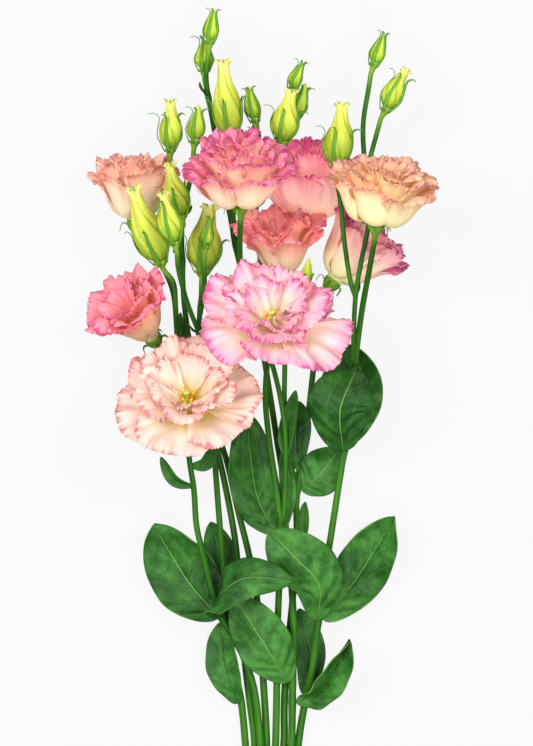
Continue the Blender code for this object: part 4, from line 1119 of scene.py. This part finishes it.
def sepal_stations(name, number):
    """A sepal's (out, up) points from its flower's base, of which the last is its tip."""
    base, _, bud = flower_of(name)
    if bud is None:
        # Under an open bloom a sepal bends out over its cup and hangs.
        tip = (CALYX_RADIUS + 3.5 + chance(name, number), -6.0)
        return [(4.4, -2.6), (5.6, -1.6), (7.4, -2.2), tip]
    # On a bud it follows the petals, and its tip curls away from them.
    length = float(np.linalg.norm(np.array(bud.tip, float) - base))
    shares = [share * bud.reach for share in (0.14, 0.34, 0.6)]
    points = [(bud_radius(bud, share) - 0.5 * GAP, share * length) for share in shares]
    foot = (bud_radius(bud, 0.0) + 0.1, -1.8)
    curl = 0.78 * bud.flare * (1 + 0.4 * chance(name, "flare", number))
    skin = bud_radius(bud, bud.reach)
    turning = (skin + 0.3 * curl + GAP, 0.86 * bud.reach * length)
    hook = (skin + 0.85 * curl + 2 * GAP, 0.98 * bud.reach * length)
    tip = (skin + 1.3 * curl + 3 * GAP, 0.95 * bud.reach * length)
    return [foot, *points, turning, hook, tip]


def sepal(name, number):
    """A narrow, keeled green sepal that follows the flower and curls away at its tip."""
    base, axis, _ = flower_of(name)
    line = crossways(np.array([base - axis, base]))
    angle = 2 * math.pi * (number + 0.5) / SEPALS
    spoke = math.cos(angle) * line[0][0] + math.sin(angle) * line[1][0]
    across = np.cross(axis, spoke)
    path = smooth_path([(out, up, 0.0) for out, up in sepal_stations(name, number)], per_span=8)
    sway = SEPAL_SWAY * chance(name, "sway", number)

    def surface(u, v):
        spot = along_line(v, path)
        width = 0.5 * SEPAL_WIDTH * (1 - v**2.4) * (0.8 + 0.2 * np.sin(math.pi * v))
        keel = SEPAL_KEEL * (1 - u**2) * (1 - v)
        middle = base + spoke * (spot[:, :1] + keel[:, None]) + axis * spot[:, 1:2]
        return middle + across * (u * width + sway * v**3)[:, None]

    return sheet("sepal", SEPAL_CELLS, surface, SEPAL_FINISH)


YOUNG_REACH = 16.0  # how far down its stalk a calyx's paler green fades out
# How an open bloom's calyx swells: (how far it is below the bloom, radius).
BLOOM_CUP = [
    (9.0, NECK_RADIUS), (7.6, 1.7), (6.2, 2.6), (5.0, 3.5), (3.6, 4.3), (2.0, 4.75),
    (0.6, CALYX_RADIUS), (0.0, 4.8),
]
STALK_SIDES = 15
RIB_DEPTH = 0.035
JOINT_SWELL = 0.5  # how far a stem swells where a twig or leaf leaves it
JOINT_LENGTH = 3.5  # how far along the stem the swelling reaches


def calyx_cup(bud):
    """How the calyx under a bud, or under a bloom where bud is None, swells."""
    if bud is None:
        return BLOOM_CUP
    foot = bud_radius(bud, 0.0)
    neck = [(6.0, TWIG_RADIUS), (4.2, TWIG_RADIUS * 1.05)]
    return [*neck, (2.6, max(0.8 * foot, 1.4)), (1.2, foot + 0.25), (0.0, foot + 0.35)]


def calyx_and_stalk(name, via, start_radius, ends, joints=()):
    """A stem or twig on a rounded line, which swells into the calyx cup under its flower."""
    base, axis, bud = flower_of(ends)
    swell = calyx_cup(bud)
    given = np.array([*via, tuple(base - axis * swell[0][0])], float)
    line = smooth_path(given, per_span=6)
    lengths = np.concatenate([[0], np.cumsum(np.linalg.norm(np.diff(line, axis=0), axis=1))])
    radii = start_radius + (swell[0][1] - start_radius) * lengths / lengths[-1]
    for spot in joints:
        apart = np.linalg.norm(line - np.array(spot), axis=1)
        radii = radii + JOINT_SWELL * np.exp(-((apart / JOINT_LENGTH) ** 2))
    cup = np.array([base - axis * back for back, _ in swell[1:]])
    line = np.vstack([line, cup])
    radii = np.concatenate([radii, [radius for _, radius in swell[1:]]])
    made = tube(name, line, radii, STALK_SIDES, STEM_FINISH, ribs=RIB_DEPTH)
    points = np.empty(len(made.data.vertices) * 3)
    made.data.vertices.foreach_get("co", points)
    apart = np.linalg.norm(points.reshape(-1, 3) / MM - base, axis=1)
    young = made.data.attributes.new("young", "FLOAT", "POINT")
    young.data.foreach_set("value", ease(1 - apart / YOUNG_REACH))
    return made


def leaf_width(v):
    """A lisianthus leaf's outline: clasping root, widest below the middle, pointed tip."""
    blade = 1.66 * v**0.55 * (1 - np.minimum(v, 1.0) ** 2.6) ** 0.75
    return LEAF_ROOT * (1 - v) ** 5 + blade + 0.03 * v


# Waves of a leaf's edges: height, as a factor on the leaf's own, how sharply they grow towards the edge,
# how many there are along the leaf, and how far they are shifted.
EDGE_WAVES = ((1.7, 2, 1.4, 1), (0.8, 3, 3.6, 2))
BLADE_WAVE = 0.8
LATERAL_RIDGE = 0.07  # how high the blade bulges between side veins, as a share of its half width
MIDRIB_DEPTH, MIDRIB_WIDTH = 0.45, 0.9
SIDE_VEIN_DEPTH, SIDE_VEIN_WIDTH = 0.22, 0.8


def leaf_rise(leaf, width, u, v):
    """How far the fold, waves, ridges and veins lift each point off a leaf's plain sheet, in mm."""
    phase = math.pi * chance(leaf.name, leaf.half_width, "phase")
    out = np.abs(u)
    rise = out * width * math.sin(math.radians(leaf.fold)) * ease(v * 3)
    for height, sharpness, count, shift in EDGE_WAVES:
        swing = np.sin(2 * math.pi * count * v + shift * phase * np.sign(u))
        rise += height * leaf.wave * out**sharpness * ease(v * 2) * swing
    swell = np.sin(2.6 * u + 6.5 * v + phase) * np.sin(5.0 * v - 1.5 * u + 2 * phase)
    rise += BLADE_WAVE * leaf.wave * ease(v * 3) * swell
    ridges = np.sin(math.pi * out) * np.sin(2 * math.pi * (LATERALS * v + 0.5 * LATERAL_SLANT * out))
    rise += LATERAL_RIDGE * leaf.half_width * ease(v * 4) * (1 - v) * ridges
    midrib = np.exp(-((u * width / MIDRIB_WIDTH) ** 2))
    rise -= MIDRIB_DEPTH * midrib * ease(v * 5)
    side_veins = np.exp(-(((out - 2 * SIDE_VEIN) * width / SIDE_VEIN_WIDTH) ** 2))
    rise -= SIDE_VEIN_DEPTH * side_veins * ease(v * 5) * ease((1 - v) * 4)
    return rise


def leaf_points(leaf, start, u, v):
    """A leaf's middle sheet, in mm: its blade spreads along its sides to both sides of its route."""
    line = smooth_path([start, *leaf.route[1:]], per_span=12)
    v = 0.5 - 0.5 * np.cos(math.pi * v)
    middle = along_line(v, line)
    direction = along_line(v, tangents(line))
    direction /= np.linalg.norm(direction, axis=1)[:, None]
    first, last = (np.array(side, float) for side in leaf.sides)
    side = first + (last - first) * v[:, None]
    side -= direction * (side * direction).sum(axis=1)[:, None]
    side /= np.linalg.norm(side, axis=1)[:, None]
    face = np.cross(side, direction)
    face *= np.where(face[:, 2:] > 0, 1.0, -1.0)
    width = leaf.half_width * leaf_width(v)
    across = u * width * math.cos(math.radians(leaf.fold))
    return middle + side * across[:, None] + face * leaf_rise(leaf, width, u, v)[:, None]


def leaf_sheet(name, cells, leaf, start, finish):
    """A leaf's blade, before it has its wall."""
    return sheet(name, cells, lambda u, v: leaf_points(leaf, start, u, v), finish)


def leaf_start(leaf, stem):
    """Where a leaf clasps its stem: on the stem's skin, on the side that the leaf leaves from."""
    wanted = np.array(leaf.route[0], float)
    points = np.array(stem.main, float)
    spans = np.linalg.norm(np.diff(points, axis=0), axis=1)
    nearest = None
    for i, (here, there) in enumerate(zip(points, points[1:])):
        along = (there - here) / spans[i]
        share = min(max((wanted - here) @ along, 0.0), spans[i])
        foot = here + along * share
        apart = float(np.linalg.norm(foot - wanted))
        if nearest is None or apart < nearest[0]:
            nearest = (apart, foot, along, (spans[:i].sum() + share) / spans.sum())
    _, foot, along, share = nearest
    out = np.array(leaf.route[1], float) - foot
    out = unit(out - along * (out @ along))
    radius = STEM_RADIUS + (NECK_RADIUS - STEM_RADIUS) * share
    root = LEAF_ROOT * leaf.half_width * abs(unit(leaf.sides[0]) @ out)
    return foot + out * (LEAF_SEAT * radius + GAP + 0.5 * SOLID_LEAF_WALL + root)


NARROW_LEAF = 8  # the half width up to which a leaf has fewer cells
LEAF_CELLS = (36, 44)
NARROW_LEAF_CELLS = (24, 32)
SMALL_LEAF_CELLS = (16, 24)
BRACT_CELLS = (8, 12)
BRACT_LENGTH = 9.0
BRACT_REACH = 4.5  # how far out from its twig a bract's tip is
BRACT_HALF_WIDTH = 1.6
BRACT_FOLD = 20


def make_leaf(leaf, stem):
    """A large leaf on its stem."""
    start = leaf_start(leaf, stem)
    cells = LEAF_CELLS if leaf.half_width > NARROW_LEAF else NARROW_LEAF_CELLS
    blade = leaf_sheet(leaf.name + "_blade", cells, leaf, start, LEAF_FINISH)
    settled(thicken(blade, LEAF_WALL), leaf.name)


def bract(twig, number):
    """The small pointed leaf under a fork."""
    start = np.array(twig.via[0], float)
    up = unit(np.array(twig.via[1], float) - start)
    out = unit(np.cross(up, (0, 0, 1)) * (1 if number % 2 else -1) + (0, 0, 0.4))
    side = tuple(np.cross(up, out))
    middle = start + up * 0.5 * BRACT_LENGTH + out * 3.0
    route = [start, middle, start + up * BRACT_LENGTH + out * BRACT_REACH]
    leaf = Leaf("", route, BRACT_HALF_WIDTH, (side, side), BRACT_FOLD, 0)
    return leaf_sheet("bract", BRACT_CELLS, leaf, start, STEM_FINISH)


def make_stem(stem):
    """A main stem with its twigs, calyxes, sepals and small upper leaves."""
    joints = [twig.via[0] for twig in stem.twigs]
    joints += [leaf.route[0] for carrier, leaf in LEAVES if carrier == stem.name]
    tubes = [calyx_and_stalk("stalk", stem.main, STEM_RADIUS, stem.ends, joints)]
    for twig in stem.twigs:
        tubes.append(calyx_and_stalk("twig", twig.via, TWIG_RADIUS, twig.ends))
    sheets = []
    for ends in [stem.ends, *(twig.ends for twig in stem.twigs)]:
        for number in range(SEPALS):
            sheets.append(sepal(ends, number))
    for leaf in stem.small_leaves:
        start = np.array(leaf.route[0], float)
        sheets.append(leaf_sheet("small_leaf", SMALL_LEAF_CELLS, leaf, start, LEAF_FINISH))
    for number, twig in enumerate(stem.twigs):
        sheets.append(bract(twig, number))
    green = close_tubes(joined("tubes", tubes))
    thin = thicken(joined("sheets", sheets), SEPAL_WALL)
    settled(joined(stem.name + "_stalks", [green, thin]), stem.name)


def band_outline(reach):
    """The tight outline round the stems in the band, `reach` outside their middles, as (x, z) points."""
    centres = [(stem.main[1][0], stem.main[1][2]) for stem in STEMS]
    outline = []
    for step in range(BAND_STEPS):
        angle = 2 * math.pi * step / BAND_STEPS
        spoke = np.array((math.cos(angle), math.sin(angle)))
        furthest = max(centres, key=lambda centre: spoke @ centre)
        outline.append(np.array(furthest) + spoke * reach)
    return np.array(outline)


STRANDS = 3
STRAND_SECTION = 24
BAND_MIDDLE = 5.4  # x and z of the middle of the stems in the band
STRAND_GAP = 0.04  # from each strand's side to the middle of the groove between two


def make_band():
    """The rubber band: three turns side by side, each a flat strip with rounded edges."""
    outline = band_outline(STEM_RADIUS + GAP + 0.5 * BAND_WALL)
    ring = np.vstack([outline, outline[:1]])
    steps = np.linspace(0, 1, len(ring))
    out = ring - BAND_MIDDLE
    out /= np.linalg.norm(out, axis=1)[:, None]
    half_width = 0.5 * BAND_WIDTH / STRANDS

    def strand(middle_y):
        def surface(u, v):
            angle = math.pi * u
            # Powers below 1 square the round section up to a strip.
            side = np.sign(np.cos(angle)) * np.abs(np.cos(angle)) ** 0.45 * (half_width - STRAND_GAP)
            high = np.sign(np.sin(angle)) * np.abs(np.sin(angle)) ** 0.6 * 0.5 * BAND_WALL * 0.96
            centre = np.stack([np.interp(v, steps, ring[:, axis]) for axis in range(2)], axis=1)
            spoke = np.stack([np.interp(v, steps, out[:, axis]) for axis in range(2)], axis=1)
            at = centre + spoke * high[:, None]
            return np.stack([at[:, 0], middle_y + side, at[:, 1]], axis=1)

        return sheet("strand", (STRAND_SECTION, 4 * BAND_STEPS), surface, RUBBER_FINISH)

    places = [BAND_Y + half_width * (2 * i + 1 - STRANDS) for i in range(STRANDS)]
    settled(close_tubes(joined("band_strands", [strand(y) for y in places])), "band")


# Softboxes: where each one is, its turn in degrees, its side and its power in watts. All lengths from here
# on are in metres, but for the sensor's.
LAMPS = [
    ((-0.95, 0.5, 1.9), (-12, -27, 0), 1.0, 38),
    ((0.95, 0.45, 2.0), (-10, 26, 0), 1.0, 28),
    ((0.1, -0.95, 2.1), (26, 3, 0), 1.0, 24),
]
SKY_STRENGTH = 0.36
TABLE_SIDE = 6.0
TABLE_Z = -0.0002
CAMERA_PLACE = (0.0026, 0.039, 2.245)
VIEW_DISTANCE = 2.2  # from the camera to the middle of the bunch
VIEW_HEIGHT = 0.388  # what the picture shows there, from its lower edge to its upper one
SENSOR = 24.0


def make_table():
    """A plain white board that glows evenly, so that it stays white between the lamps."""
    deselect()
    bpy.ops.mesh.primitive_plane_add(size=TABLE_SIDE, location=(0, 0, TABLE_Z))
    floor = bpy.context.object
    floor.name = "table"
    floor.visible_diffuse = False
    floor.visible_glossy = False
    made, tree, skin = new_material("lit_white_board")
    feed(
        tree, skin, Base_Color=colour_of("383838"), Roughness=0.9, Specular_IOR_Level=0.0,
        Emission_Color=(1, 1, 1, 1), Emission_Strength=0.89,
    )
    floor.data.materials.append(made)


def make_light():
    """Soft light from three boxes above the table and from all round."""
    for place, turn, side, power in LAMPS:
        rotation = [math.radians(angle) for angle in turn]
        bpy.ops.object.light_add(type="AREA", location=place, rotation=rotation)
        lamp = bpy.context.object.data
        lamp.shape = "SQUARE"
        lamp.size = side
        lamp.energy = power
    world = bpy.data.worlds.new("studio")
    world.use_nodes = True
    sky = world.node_tree.nodes["Background"]
    sky.inputs["Color"].default_value = (1, 1, 1, 1)
    sky.inputs["Strength"].default_value = SKY_STRENGTH
    bpy.context.scene.world = world
    bpy.context.scene.view_settings.view_transform = "Standard"


def make_camera():
    """A camera straight above the bunch, with a long lens."""
    lens = bpy.data.cameras.new("camera")
    camera = bpy.data.objects.new("camera", lens)
    bpy.context.scene.collection.objects.link(camera)
    camera.location = CAMERA_PLACE
    lens.sensor_fit = "VERTICAL"
    lens.sensor_height = SENSOR
    lens.lens = SENSOR * VIEW_DISTANCE / VIEW_HEIGHT
    lens.clip_end = 10.0
    bpy.context.scene.camera = camera


make_table()
make_light()
make_camera()
stems = {stem.name: stem for stem in STEMS}
for stem in STEMS:
    make_stem(stem)
for bloom in BLOOMS:
    make_bloom(bloom)
    if bloom.name in OUTER_PETALS:
        make_pistil(bloom)
for bud in BUDS:
    make_bud(bud)
for carrier, leaf in LEAVES:
    make_leaf(leaf, stems[carrier])
make_band()
